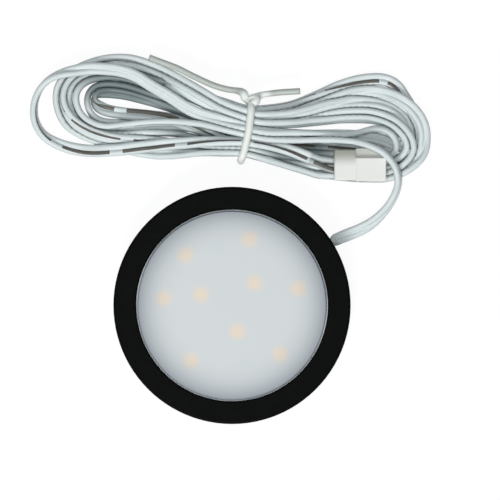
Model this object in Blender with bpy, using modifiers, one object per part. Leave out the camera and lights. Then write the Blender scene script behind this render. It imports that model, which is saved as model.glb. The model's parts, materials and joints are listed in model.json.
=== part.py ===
"""A round surface-mounted LED downlight with its flat two-core lead, tied in a hank, and its connector.

The lamp stands on its back at the origin with its lens facing +Z. Every size is in metres.
"""

import math

import bmesh
import bpy
from mathutils import Matrix, Vector

MM = 0.001
CLEARANCE = 0.3 * MM          # between two pieces that touch on the real lamp
ROUND_STEPS = 96              # facets round the pieces that show
HIDDEN_STEPS = 64             # facets round the pieces inside
HOLE_SIDES = 32               # facets round the screw holes and their bosses

# Bezel ring
RING_DIAMETER = 60.0 * MM
LAMP_HEIGHT = 11.0 * MM
APERTURE_DIAMETER = 48.5 * MM
RING_WALL = 1.5 * MM
LIP_THICKNESS = 1.2 * MM
RING_EDGE_RADIUS = 0.6 * MM
APERTURE_CHAMFER = 0.35 * MM
RING_FOOT_GAP = 0.4 * MM      # the ring stops this far above the mounting surface
FOOT_CHAMFER = 0.3 * MM

# Snap fit between the ring and the housing
BEAD_ANGLES = (90.0, 210.0, 330.0)
BEAD_REACH = 0.75 * MM
BEAD_HEIGHT = 1.0 * MM
BEAD_WIDTH = 7.0 * MM
BEAD_LEVEL = 2.5 * MM

# Back housing
HOUSING_UPPER_WALL = 1.8 * MM
HOUSING_LOWER_WALL = 3.2 * MM
FLOOR_THICKNESS = 1.2 * MM
HOUSING_EDGE = 0.3 * MM
PEDESTAL_RADIUS = 10.0 * MM
BOARD_LEVEL = 4.6 * MM        # underside of the LED board
GROOVE_MOUTH = 0.4 * MM       # how much taller than the bead the groove is, on each side
MOUNT_HOLE_RADIUS = 1.8 * MM
COUNTERSINK_RADIUS = 3.3 * MM
MOUNT_BOSS_RADIUS = 4.1 * MM
MOUNT_BOSS_HEIGHT = 3.1 * MM
MOUNT_PITCH_RADIUS = 15.0 * MM
MOUNT_ANGLES = (103.5, 283.5)

# LED board and what is on it
BOARD_THICKNESS = 1.0 * MM
PAD_THICKNESS = 0.6 * MM
PAD_MARGIN = 0.3 * MM
ACCESS_HOLE_RADIUS = 3.6 * MM
LED_LENGTH = 3.5 * MM
LED_WIDTH = 2.8 * MM
LED_HEIGHT = 0.7 * MM
LED_EDGE = 0.12 * MM
LED_RIM_GAP = 6.6 * MM        # from the spacer ring's foot in to the middle of the outer LEDs
LED_OUTER_ANGLES = (14.3, 75.0, 132.5, 174.0, 233.6, 314.5)
LED_INNER_PLACES = ((8.3 * MM, 160.9), (8.0 * MM, 45.2), (6.7 * MM, 282.0))
RESISTOR_LENGTH = 3.2 * MM
RESISTOR_WIDTH = 1.6 * MM
RESISTOR_HEIGHT = 0.6 * MM
RESISTOR_EDGE = 0.1 * MM
RESISTOR_PLACES = ((12.4 * MM, 205.0), (12.8 * MM, 256.0), (13.0 * MM, 52.0))

# Diffuser and the white ring that carries it
DIFFUSER_SET_BACK = 0.3 * MM
DIFFUSER_FLANGE = 1.2 * MM
DIFFUSER_PLATE = 1.7 * MM
DIFFUSER_EDGE = 0.3 * MM
SPACER_WALL = 1.5 * MM
SPACER_FOOT = 0.6 * MM

# Flat two-core lead
CORE_DIAMETER = 1.6 * MM
CORD_WIDTH = 2 * CORE_DIAMETER
CORD_TUBE = 2.4 * MM          # round tube that stands for the flat lead
CORD_SIDES = 2
CABLE_ANGLE = 32.3
CABLE_LEVEL = FLOOR_THICKNESS + CLEARANCE + CORD_TUBE / 2
CABLE_INNER_END = 17.0 * MM
CABLE_INNER_MIDDLE = 22.4 * MM
CHANNEL_START = 17.4 * MM
RIB_ROOT = 0.8 * MM           # the ribs run this far into the wall
RIB_THICKNESS = 1.1 * MM
RIB_HEIGHT = 2.7 * MM
TOOTH_RADIUS = 0.55 * MM
TOOTH_PLACES = (18.9 * MM, 21.2 * MM, 23.5 * MM)
LEAD_ROUTE = (
    (29.03 * MM, 17.99 * MM, 2.2 * MM),
    (32.81 * MM, 20.13 * MM, 1.5 * MM),
    (36.81 * MM, 22.68 * MM, 1.25 * MM),
    (39.90 * MM, 25.74 * MM, 1.25 * MM),
    (41.79 * MM, 29.11 * MM, 1.25 * MM),
    (42.37 * MM, 31.35 * MM, 1.25 * MM),
)
ROUTE_STEP = 1.5 * MM

# Inner cores, from the channel up through the board to their solder joints
WIRE_HOLE = (4.6 * MM, 3.6 * MM)
WIRE_HOLE_PLACE = (12.8 * MM, 0.1 * MM)
WIRE_PITCH = 2.1 * MM
WIRE_RISE = (4.2 * MM, 2.2 * MM)     # stations before the hole, along Y from its middle
WIRE_FALL = (-1.0 * MM, -2.4 * MM)   # stations after it, up to the end at WIRE_DROP
WIRE_LEAN = 0.1 * MM
WIRE_DROP = 4.2 * MM          # from the board's wire hole to where the cores end
INSIDE_BEND = 0.5 * MM        # each core runs this far inwards before it bends to the hole
OUTSIDE_BEND = 1.9 * MM
JOINT_RADIUS = 0.9 * MM
JOINT_HEIGHT = 1.1 * MM
JOINT_SIDES = 16

# Hank
HANK_HEIGHT = 7.0 * MM
HANK_OUTLINE = (
    (-51.99 * MM, 49.67 * MM), (-50.21 * MM, 55.01 * MM), (-44.60 * MM, 59.09 * MM),
    (-37.73 * MM, 61.89 * MM), (-28.56 * MM, 64.18 * MM), (-18.37 * MM, 61.38 * MM),
    (-8.19 * MM, 55.01 * MM), (4.04 * MM, 50.43 * MM), (14.73 * MM, 51.45 * MM),
    (24.92 * MM, 55.27 * MM), (37.15 * MM, 58.83 * MM), (45.55 * MM, 53.49 * MM),
    (50.39 * MM, 45.08 * MM), (47.84 * MM, 36.93 * MM), (39.18 * MM, 31.84 * MM),
    (30.01 * MM, 31.33 * MM), (17.28 * MM, 34.38 * MM), (4.04 * MM, 37.95 * MM),
    (-10.73 * MM, 37.95 * MM), (-28.56 * MM, 37.31 * MM), (-40.02 * MM, 38.71 * MM),
    (-48.93 * MM, 44.06 * MM),
)
OUTLINE_STEPS = 4

# Connector
CONNECTOR_LENGTH = 13.2 * MM
CONNECTOR_WIDTH = 8.3 * MM
CONNECTOR_HEIGHT = 5.0 * MM
CONNECTOR_CENTRE = (32.5 * MM, 35.6 * MM)
CONNECTOR_BASE = 3.4 * MM     # it lies on the lower turns of the hank
COLLAR_LENGTH = 5.4 * MM
COLLAR_INSET = 0.25 * MM       # the collar is this much smaller than the body on each side
LEDGE_WIDTH = 2.5 * MM
LEDGE_DROP = 1.2 * MM
CONNECTOR_EDGE = 0.35 * MM
SOCKET_WIDTH = 6.4 * MM
SOCKET_HEIGHT = 2.6 * MM
SOCKET_DEPTH = 5.6 * MM
SOCKET_LEVEL = 2.0 * MM       # its roof stays closed below the ledge
CORE_PITCH = 2.5 * MM
PIN_SIDE = 0.64 * MM
PIN_SET_BACK = 0.8 * MM       # from the mating face to the tips
CORE_TAIL = 3.5 * MM          # bare length of each core before the connector
SHELF_REACH = 1.0 * MM        # room past the mating face

# Twist tie
TIE_DIAMETER = 1.35 * MM
TIE_PLACE = 3.4 * MM          # where its loop stands along the hank
TIE_LEAN = 1.1 * MM           # how far the loop leans along the hank, on each side
WAIST_TOP = 50.45 * MM
WAIST_FOOT = 37.95 * MM
TWIST_LENGTH = 3.4 * MM
TWIST_TURNS = 1.0
TWIST_STEPS = 10
TWIST_LEVEL = 4.6 * MM
TIE_LEFT_TAIL = ((-3.84 * MM, 56.2 * MM), (-11.21 * MM, 59.6 * MM), (-18.33 * MM, 62.6 * MM),
                 (-21.12 * MM, 64.0 * MM))
TIE_RIGHT_TAIL = ((8.4 * MM, 54.4 * MM), (12.6 * MM, 54.6 * MM), (17.26 * MM, 54.9 * MM))

# Sizes that follow from the ones above
RING_RADIUS = RING_DIAMETER / 2
RING_BORE = RING_RADIUS - RING_WALL
APERTURE_RADIUS = APERTURE_DIAMETER / 2
LIP_UNDERSIDE = LAMP_HEIGHT - LIP_THICKNESS
HOUSING_RADIUS = RING_BORE - CLEARANCE
HOUSING_UPPER_BORE = HOUSING_RADIUS - HOUSING_UPPER_WALL
HOUSING_LOWER_BORE = HOUSING_RADIUS - HOUSING_LOWER_WALL
LEDGE_LEVEL = BOARD_LEVEL - CLEARANCE
BOARD_RADIUS = HOUSING_UPPER_BORE - CLEARANCE
BOARD_TOP = BOARD_LEVEL + BOARD_THICKNESS
PAD_LEVEL = BOARD_LEVEL - CLEARANCE - PAD_THICKNESS
PEDESTAL_TOP = PAD_LEVEL - CLEARANCE
FLANGE_TOP = LIP_UNDERSIDE - CLEARANCE
FLANGE_FOOT = FLANGE_TOP - DIFFUSER_FLANGE
HOUSING_TOP = FLANGE_FOOT - CLEARANCE
SURFACE_LEVEL = BOARD_TOP + CLEARANCE    # underside of what is soldered to the board
SPACER_BORE = BOARD_RADIUS - SPACER_WALL
SPACER_FOOT_BORE = SPACER_BORE - SPACER_FOOT
LED_OUTER_RADIUS = SPACER_FOOT_BORE - LED_RIM_GAP
SLOT_WIDTH = CORD_WIDTH + 2 * CLEARANCE
SLOT_HEIGHT = CORD_TUBE + 2 * CLEARANCE
CORE_RADIUS = CORE_DIAMETER / 2
TIE_RADIUS = TIE_DIAMETER / 2


def polar(radius, degrees, height=0.0):
    """The point at a radius and an angle about the lamp's axis."""
    angle = math.radians(degrees)
    return Vector((radius * math.cos(angle), radius * math.sin(angle), height))


def clear_objects():
    """Removes whatever the scene holds."""
    for item in list(bpy.data.objects):
        bpy.data.objects.remove(item, do_unlink=True)


def collection(name):
    """A new collection in the scene."""
    made = bpy.data.collections.new(name)
    bpy.context.scene.collection.children.link(made)
    return made


def place(item, holder):
    """Moves an object into one collection."""
    for old in list(item.users_collection):
        old.objects.unlink(item)
    holder.objects.link(item)
    return item


def surface(name, colour, roughness, metallic=0.0):
    """A plain material for one kind of finish."""
    made = bpy.data.materials.new(name)
    made.use_nodes = True
    shader = made.node_tree.nodes["Principled BSDF"]
    shader.inputs["Base Color"].default_value = (*colour, 1.0)
    shader.inputs["Roughness"].default_value = roughness
    shader.inputs["Metallic"].default_value = metallic
    made.diffuse_color = (*colour, 1.0)
    return made


def dress(item, material, smooth_degrees=35.0):
    """Gives an object its material and smooth shading on its round faces."""
    item.data.materials.clear()
    item.data.materials.append(material)
    if item.type == "MESH":
        item.data.shade_smooth()
        item.data.set_sharp_from_angle(angle=math.radians(smooth_degrees))
    return item


def turned(name, profile, holder, steps, closed=False):
    """A turned shape from a profile of (radius, height) points, down its outer side."""
    mesh = bpy.data.meshes.new(name)
    edges = [(i, i + 1) for i in range(len(profile) - 1)]
    if closed:
        edges.append((len(profile) - 1, 0))
    mesh.from_pydata([(radius, 0.0, height) for radius, height in profile], edges, [])
    item = bpy.data.objects.new(name, mesh)
    holder.objects.link(item)
    screw = item.modifiers.new("Turn", "SCREW")
    screw.axis = "Z"
    screw.steps = steps
    screw.render_steps = steps
    screw.use_merge_vertices = True
    screw.merge_threshold = 0.00001
    screw.use_smooth_shade = True
    return item


def box(name, size, holder, centre=(0, 0, 0), degrees=0.0, edge=0.0):
    """A box, turned about Z, with rounded edges where an edge size is given."""
    bpy.ops.mesh.primitive_cube_add(size=1.0)
    item = bpy.context.object
    item.name = name
    item.data.name = name
    item.data.transform(Matrix.Diagonal((*size, 1.0)))
    item.location = centre
    item.rotation_euler.z = math.radians(degrees)
    place(item, holder)
    if edge:
        bevel = item.modifiers.new("Edge", "BEVEL")
        bevel.width = edge
        bevel.segments = 2
    return item


def cylinder(name, radius, height, holder, centre, sides=24, top_radius=None):
    """A cylinder or cone on a vertical axis, given by the centre of its base."""
    bpy.ops.mesh.primitive_cone_add(
        vertices=sides, radius1=radius, depth=height,
        radius2=radius if top_radius is None else top_radius)
    item = bpy.context.object
    item.name = name
    item.data.name = name
    item.location = Vector(centre) + Vector((0, 0, height / 2))
    return place(item, holder)


def as_mesh(curve, holder):
    """The mesh of a curve object with its caps welded on, in the curve's place."""
    graph = bpy.context.evaluated_depsgraph_get()
    graph.update()
    mesh = bpy.data.meshes.new_from_object(curve.evaluated_get(graph))
    shape = bmesh.new()
    shape.from_mesh(mesh)
    bmesh.ops.remove_doubles(shape, verts=shape.verts, dist=0.000001)
    shape.to_mesh(mesh)
    shape.free()
    name = curve.name
    place_matrix = curve.matrix_world.copy()
    bpy.data.objects.remove(curve, do_unlink=True)
    item = bpy.data.objects.new(name, mesh)
    item.matrix_world = place_matrix
    holder.objects.link(item)
    return item


def tube(name, points, radius, holder):
    """A round tube along a list of points, as a curve with filled caps."""
    curve = bpy.data.curves.new(name, "CURVE")
    curve.dimensions = "3D"
    curve.bevel_depth = radius
    curve.bevel_resolution = CORD_SIDES
    curve.use_fill_caps = True
    spline = curve.splines.new("POLY")
    spline.points.add(len(points) - 1)
    for knot, point in zip(spline.points, points):
        knot.co = (*point, 1.0)
    item = bpy.data.objects.new(name, curve)
    holder.objects.link(item)
    return item


def along(route, step):
    """Points at an even step on the smooth curve through a route's own points."""
    knots = [Vector(point) for point in route]
    ends = [2 * knots[0] - knots[1]] + knots + [2 * knots[-1] - knots[-2]]
    fine = []
    for before, start, finish, after in zip(ends, ends[1:], ends[2:], ends[3:]):
        pieces = max(2, math.ceil((finish - start).length / (step / 8)))
        for i in range(pieces):
            t = i / pieces
            fine.append(0.5 * ((2 * start) + (finish - before) * t
                               + (2 * before - 5 * start + 4 * finish - after) * t ** 2
                               + (3 * start - before - 3 * finish + after) * t ** 3))
    fine.append(knots[-1])
    lengths = [0.0]
    for start, finish in zip(fine, fine[1:]):
        lengths.append(lengths[-1] + (finish - start).length)
    count = max(2, round(lengths[-1] / step))
    points = []
    i = 0
    for k in range(count + 1):
        wanted = lengths[-1] * k / count
        while i < len(fine) - 2 and lengths[i + 1] < wanted:
            i += 1
        share = (wanted - lengths[i]) / max(lengths[i + 1] - lengths[i], 1e-12)
        points.append(fine[i].lerp(fine[i + 1], min(max(share, 0.0), 1.0)))
    return points


def cut(item, cutter, operation="DIFFERENCE"):
    """Takes a tool shape away from an object, or joins it on."""
    cutter.hide_render = True
    cutter.display_type = "WIRE"
    change = item.modifiers.new(cutter.name, "BOOLEAN")
    change.operation = operation
    change.solver = "EXACT"
    change.object = cutter
    return item


def bezel_ring(parts, tools, black):
    """The ring that frames the lens: a wall, a front lip and three snap beads."""
    corner = RING_RADIUS - RING_EDGE_RADIUS
    arc = [(corner + RING_EDGE_RADIUS * math.sin(math.radians(a)),
            LAMP_HEIGHT - RING_EDGE_RADIUS * (1 - math.cos(math.radians(a))))
           for a in (0, 30, 60, 90)]
    profile = arc + [
        (RING_RADIUS, RING_FOOT_GAP + FOOT_CHAMFER),
        (RING_RADIUS - FOOT_CHAMFER, RING_FOOT_GAP),
        (RING_BORE, RING_FOOT_GAP),
        (RING_BORE, LIP_UNDERSIDE),
        (APERTURE_RADIUS, LIP_UNDERSIDE),
        (APERTURE_RADIUS, LAMP_HEIGHT - APERTURE_CHAMFER),
        (APERTURE_RADIUS + APERTURE_CHAMFER, LAMP_HEIGHT),
    ]
    ring = turned("bezel_ring", profile, parts, ROUND_STEPS, closed=True)
    depth = RING_WALL / 2 + BEAD_REACH
    for angle in BEAD_ANGLES:
        centre = polar(RING_BORE - BEAD_REACH + depth / 2, angle, BEAD_LEVEL)
        bead = box(f"bead_{angle:.0f}", (depth, BEAD_WIDTH, BEAD_HEIGHT), tools, centre, angle)
        cut(ring, bead, "UNION")
    notch_top = FLOOR_THICKNESS + SLOT_HEIGHT
    notch = box("lead_notch", (3 * RING_WALL, SLOT_WIDTH, 2 * notch_top), tools,
                polar(RING_BORE + RING_WALL / 2, CABLE_ANGLE), CABLE_ANGLE)
    cut(ring, notch)
    return dress(ring, black)


def back_housing(parts, tools, black):
    """The moulded base: floor, stepped wall, snap groove, screw bosses and lead channel."""
    groove_low = BEAD_LEVEL - BEAD_HEIGHT / 2 - GROOVE_MOUTH
    groove_high = BEAD_LEVEL + BEAD_HEIGHT / 2 + GROOVE_MOUTH
    groove_floor = RING_BORE - BEAD_REACH - CLEARANCE
    slope = HOUSING_RADIUS - groove_floor
    profile = [
        (0.0, PEDESTAL_TOP),
        (PEDESTAL_RADIUS, PEDESTAL_TOP),
        (PEDESTAL_RADIUS, FLOOR_THICKNESS),
        (HOUSING_LOWER_BORE, FLOOR_THICKNESS),
        (HOUSING_LOWER_BORE, LEDGE_LEVEL),
        (HOUSING_UPPER_BORE, LEDGE_LEVEL),
        (HOUSING_UPPER_BORE, HOUSING_TOP),
        (HOUSING_RADIUS - HOUSING_EDGE, HOUSING_TOP),
        (HOUSING_RADIUS, HOUSING_TOP - HOUSING_EDGE),
        (HOUSING_RADIUS, groove_high + slope / 2),
        (groove_floor, groove_high),
        (groove_floor, groove_low),
        (HOUSING_RADIUS, groove_low - slope / 2),
        (HOUSING_RADIUS, HOUSING_EDGE),
        (HOUSING_RADIUS - HOUSING_EDGE, 0.0),
        (0.0, 0.0),
    ]
    housing = turned("back_housing", profile, parts, HIDDEN_STEPS)
    for angle in MOUNT_ANGLES:
        boss = cylinder(f"boss_{angle:.0f}", MOUNT_BOSS_RADIUS, MOUNT_BOSS_HEIGHT - FLOOR_THICKNESS / 2,
                        tools, polar(MOUNT_PITCH_RADIUS, angle, FLOOR_THICKNESS / 2), HOLE_SIDES)
        cut(housing, boss, "UNION")
    middle = (CHANNEL_START + HOUSING_LOWER_BORE + RIB_ROOT) / 2
    length = HOUSING_LOWER_BORE + RIB_ROOT - CHANNEL_START
    across = polar(1.0, CABLE_ANGLE + 90.0)
    rib_offset = (SLOT_WIDTH + CLEARANCE + RIB_THICKNESS) / 2
    rib_size = (length, RIB_THICKNESS, RIB_HEIGHT + FLOOR_THICKNESS / 2)
    for side in (-1, 1):
        centre = polar(middle, CABLE_ANGLE, FLOOR_THICKNESS / 2 + rib_size[2] / 2)
        rib = box(f"rib_{side}", rib_size, tools, centre + across * side * rib_offset, CABLE_ANGLE)
        cut(housing, rib, "UNION")
        tooth_offset = CORD_TUBE / 2 + CLEARANCE + TOOTH_RADIUS
        for number, radius in enumerate(TOOTH_PLACES):
            foot = polar(radius, CABLE_ANGLE, FLOOR_THICKNESS / 2) + across * side * tooth_offset
            tooth = cylinder(f"tooth_{side}_{number}", TOOTH_RADIUS, rib_size[2], tools, foot, 12)
            cut(housing, tooth, "UNION")
    slot_span = HOUSING_LOWER_WALL * 2
    slot_middle = polar(HOUSING_LOWER_BORE + slot_span / 4, CABLE_ANGLE, FLOOR_THICKNESS + SLOT_HEIGHT / 2)
    slot = box("lead_slot", (slot_span, SLOT_WIDTH, SLOT_HEIGHT), tools, slot_middle, CABLE_ANGLE)
    cut(housing, slot)
    sink_depth = COUNTERSINK_RADIUS - MOUNT_HOLE_RADIUS
    for angle in MOUNT_ANGLES:
        foot = polar(MOUNT_PITCH_RADIUS, angle)
        hole = cylinder(f"hole_{angle:.0f}", MOUNT_HOLE_RADIUS, 2 * MOUNT_BOSS_HEIGHT, tools,
                        foot - Vector((0, 0, MOUNT_BOSS_HEIGHT / 2)), HOLE_SIDES)
        cut(housing, hole)
        sink = cylinder(f"sink_{angle:.0f}", MOUNT_HOLE_RADIUS, 2 * sink_depth, tools,
                        foot + Vector((0, 0, MOUNT_BOSS_HEIGHT - sink_depth)), HOLE_SIDES,
                        2 * COUNTERSINK_RADIUS - MOUNT_HOLE_RADIUS)
        cut(housing, sink)
    return dress(housing, black)


def diffuser(parts, opal):
    """The frosted lens: a plate with a front step that fills the ring's aperture."""
    front = LAMP_HEIGHT - DIFFUSER_SET_BACK
    step_radius = APERTURE_RADIUS - CLEARANCE
    plate_foot = front - DIFFUSER_PLATE
    rim_width = HOUSING_RADIUS - CLEARANCE - APERTURE_RADIUS
    profile = [
        (0.0, front),
        (step_radius - DIFFUSER_EDGE, front),
        (step_radius, front - DIFFUSER_EDGE),
        (step_radius, FLANGE_TOP),
        (APERTURE_RADIUS + rim_width, FLANGE_TOP),
        (APERTURE_RADIUS + rim_width, FLANGE_FOOT),
        (step_radius, FLANGE_FOOT),
        (step_radius - (plate_foot - FLANGE_FOOT), plate_foot),
        (0.0, plate_foot),
    ]
    return dress(turned("diffuser", profile, parts, ROUND_STEPS), opal)


def spacer_ring(parts, white):
    """The white wall between the board's edge and the lens."""
    profile = [
        (BOARD_RADIUS, HOUSING_TOP),
        (BOARD_RADIUS, SURFACE_LEVEL),
        (SPACER_FOOT_BORE, SURFACE_LEVEL),
        (SPACER_FOOT_BORE, SURFACE_LEVEL + SPACER_FOOT / 2),
        (SPACER_BORE, HOUSING_TOP),
    ]
    return dress(turned("spacer_ring", profile, parts, HIDDEN_STEPS, closed=True), white)


def led_board(parts, tools, white):
    """The round metal-cored board, with access to the mounting screws and a wire hole."""
    profile = [(0.0, BOARD_TOP), (BOARD_RADIUS, BOARD_TOP), (BOARD_RADIUS, BOARD_LEVEL), (0.0, BOARD_LEVEL)]
    board = turned("led_board", profile, parts, HIDDEN_STEPS)
    for angle in MOUNT_ANGLES:
        hole = cylinder(f"access_{angle:.0f}", ACCESS_HOLE_RADIUS, 3 * BOARD_THICKNESS, tools,
                        polar(MOUNT_PITCH_RADIUS, angle, BOARD_LEVEL - BOARD_THICKNESS), HOLE_SIDES)
        cut(board, hole)
    slot = box("wire_hole", (*WIRE_HOLE, 3 * BOARD_THICKNESS), tools,
               (*WIRE_HOLE_PLACE, BOARD_LEVEL + BOARD_THICKNESS / 2))
    cut(board, slot)
    return dress(board, white)


def thermal_pad(parts, grey):
    """The soft sheet that takes the board's heat to the housing's pedestal."""
    radius = PEDESTAL_RADIUS - PAD_MARGIN
    profile = [(0.0, PAD_LEVEL + PAD_THICKNESS), (radius, PAD_LEVEL + PAD_THICKNESS),
               (radius, PAD_LEVEL), (0.0, PAD_LEVEL)]
    return dress(turned("thermal_pad", profile, parts, HIDDEN_STEPS), grey)


def board_components(parts, phosphor, ceramic):
    """The nine LEDs and the three resistors on the board."""
    places = [(LED_OUTER_RADIUS, angle) for angle in LED_OUTER_ANGLES] + list(LED_INNER_PLACES)
    for number, (radius, angle) in enumerate(places, start=1):
        centre = polar(radius, angle, SURFACE_LEVEL + LED_HEIGHT / 2)
        led = box(f"led_{number}", (LED_LENGTH, LED_WIDTH, LED_HEIGHT), parts, centre, angle, LED_EDGE)
        dress(led, phosphor)
    for number, (radius, angle) in enumerate(RESISTOR_PLACES, start=1):
        centre = polar(radius, angle, SURFACE_LEVEL + RESISTOR_HEIGHT / 2)
        size = (RESISTOR_LENGTH, RESISTOR_WIDTH, RESISTOR_HEIGHT)
        dress(box(f"resistor_{number}", size, parts, centre, angle, RESISTOR_EDGE), ceramic)


def inner_cores(parts, jacket, solder):
    """The two cores from the lead's end up through the board, and their solder joints."""
    across = polar(1.0, CABLE_ANGLE + 90.0)
    start = polar(CABLE_INNER_END - CLEARANCE, CABLE_ANGLE, CABLE_LEVEL)
    hole_x, hole_y = WIRE_HOLE_PLACE
    low = PEDESTAL_TOP - CORE_RADIUS
    high = SURFACE_LEVEL + CORE_RADIUS
    end_y = hole_y - WIRE_DROP
    for name, side, straight in (("plain", -1, INSIDE_BEND), ("marked", 1, OUTSIDE_BEND)):
        x = hole_x - side * WIRE_PITCH / 2
        first = start + across * side * (CORE_RADIUS + CLEARANCE / 2)
        route = [
            first,
            first - polar(straight, CABLE_ANGLE),
            (x, hole_y + WIRE_RISE[0], low),
            (x, hole_y + WIRE_RISE[1], low + CLEARANCE),
            (x, hole_y + WIRE_LEAN, BOARD_LEVEL),
            (x, hole_y + WIRE_FALL[0], high - 2 * CLEARANCE),
            (x, hole_y + WIRE_FALL[1], high),
            (x, end_y, high),
        ]
        dress(tube(f"inner_core_{name}", along(route, CORE_RADIUS), CORE_RADIUS, parts), jacket)
        foot = (x, end_y - CLEARANCE - JOINT_RADIUS, SURFACE_LEVEL)
        joint = cylinder(f"solder_joint_{name}", JOINT_RADIUS, JOINT_HEIGHT, parts, foot, JOINT_SIDES,
                         JOINT_RADIUS / 2)
        dress(joint, solder)


def cable_lead(parts, jacket):
    """The stretch of lead from the channel inside the lamp out to the hank."""
    inside = [polar(radius, CABLE_ANGLE, CABLE_LEVEL)
              for radius in (CABLE_INNER_END, CABLE_INNER_MIDDLE, RING_BORE)]
    lead = tube("cable_lead", along(inside + list(LEAD_ROUTE), ROUTE_STEP), CORD_TUBE / 2, parts)
    return dress(lead, jacket)


def cable_hank(parts, tools, jacket):
    """The wound hank as one solid, with a shelf for the connector and a groove for the tie."""
    curve = bpy.data.curves.new("cable_hank", "CURVE")
    curve.dimensions = "2D"
    curve.fill_mode = "BOTH"
    curve.extrude = HANK_HEIGHT / 2
    curve.resolution_u = OUTLINE_STEPS
    spline = curve.splines.new("BEZIER")
    spline.bezier_points.add(len(HANK_OUTLINE) - 1)
    for knot, (x, y) in zip(spline.bezier_points, HANK_OUTLINE):
        knot.co = (x, y, 0.0)
        knot.handle_left_type = "AUTO"
        knot.handle_right_type = "AUTO"
    spline.use_cyclic_u = True
    flat = bpy.data.objects.new("cable_hank", curve)
    flat.location.z = HANK_HEIGHT / 2
    parts.objects.link(flat)
    bpy.context.view_layer.update()
    hank = as_mesh(flat, parts)

    rear = CONNECTOR_CENTRE[0] - CONNECTOR_LENGTH / 2 - CORE_TAIL - 2 * CLEARANCE
    front = CONNECTOR_CENTRE[0] + CONNECTOR_LENGTH / 2 + SHELF_REACH
    back_wall = CONNECTOR_CENTRE[1] + CONNECTOR_WIDTH / 2 + CLEARANCE
    depth = 2 * CONNECTOR_WIDTH
    shelf = box("shelf", (front - rear, depth, 2 * HANK_HEIGHT), tools,
                ((front + rear) / 2, back_wall - depth / 2, CONNECTOR_BASE - CLEARANCE + HANK_HEIGHT))
    cut(hank, shelf)
    under = TIE_DIAMETER + 2 * CLEARANCE
    groove = box("tie_groove", (under + 2 * TIE_LEAN, 4 * (WAIST_TOP - WAIST_FOOT), 2 * under), tools,
                 (TIE_PLACE, (WAIST_TOP + WAIST_FOOT) / 2, 0.0))
    cut(hank, groove)
    return dress(hank, jacket)


def end_cores(parts, jacket):
    """The two cores between the hank and the connector."""
    tip = CONNECTOR_CENTRE[0] - CONNECTOR_LENGTH / 2 - CLEARANCE
    level = CONNECTOR_BASE + SOCKET_LEVEL
    for name, side in (("plain", 1), ("marked", -1)):
        y = CONNECTOR_CENTRE[1] + side * CORE_PITCH / 2
        route = [(tip - CORE_TAIL, y, level), (tip - CORE_TAIL / 2, y, level), (tip, y, level)]
        dress(tube(f"end_core_{name}", route, CORE_RADIUS, parts), jacket)


def connector(parts, tools, ivory, tin):
    """The two-way connector: a collar, a body with a low ledge, an open socket and two pins."""
    x, y = CONNECTOR_CENTRE
    rear = x - CONNECTOR_LENGTH / 2
    front = x + CONNECTOR_LENGTH / 2
    level = CONNECTOR_BASE + CONNECTOR_HEIGHT / 2
    body_length = CONNECTOR_LENGTH - COLLAR_LENGTH
    body = box("connector_housing", (body_length, CONNECTOR_WIDTH, CONNECTOR_HEIGHT), parts,
               (front - body_length / 2, y, level), 0.0, CONNECTOR_EDGE)
    collar_reach = COLLAR_LENGTH + body_length / 4
    collar_size = (collar_reach, CONNECTOR_WIDTH - 2 * COLLAR_INSET, CONNECTOR_HEIGHT - 2 * COLLAR_INSET)
    collar = box("collar", collar_size, tools, (rear + collar_reach / 2, y, level), 0.0, CONNECTOR_EDGE)
    cut(body, collar, "UNION")
    ledge = box("ledge", (CONNECTOR_LENGTH, 2 * LEDGE_WIDTH, 2 * LEDGE_DROP), tools,
                (front - body_length + CONNECTOR_LENGTH / 2, y + CONNECTOR_WIDTH / 2,
                 CONNECTOR_BASE + CONNECTOR_HEIGHT))
    cut(body, ledge)
    socket_middle = y - (CONNECTOR_WIDTH - SOCKET_WIDTH) / 4
    socket = box("socket", (2 * SOCKET_DEPTH, SOCKET_WIDTH, SOCKET_HEIGHT), tools,
                 (front, socket_middle, CONNECTOR_BASE + SOCKET_LEVEL))
    cut(body, socket)
    dress(body, ivory)
    pin_length = SOCKET_DEPTH - PIN_SET_BACK - CLEARANCE
    pin_middle = front - PIN_SET_BACK - pin_length / 2
    for name, side in (("plain", 1), ("marked", -1)):
        pin = box(f"pin_{name}", (pin_length, PIN_SIDE, PIN_SIDE), parts,
                  (pin_middle, socket_middle + side * CORE_PITCH / 2, CONNECTOR_BASE + SOCKET_LEVEL), 0.0,
                  PIN_SIDE / 6)
        dress(pin, tin)


def twist_points(start, finish, phase):
    """One strand of the twist between two points of its axis."""
    radius = TIE_RADIUS + CLEARANCE / 2
    points = []
    for i in range(TWIST_STEPS + 1):
        share = i / TWIST_STEPS
        angle = math.radians(phase + 360.0 * TWIST_TURNS * share)
        centre = start.lerp(finish, share)
        points.append(centre + Vector((radius * math.sin(angle), 0, radius * math.cos(angle))))
    return points


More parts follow.
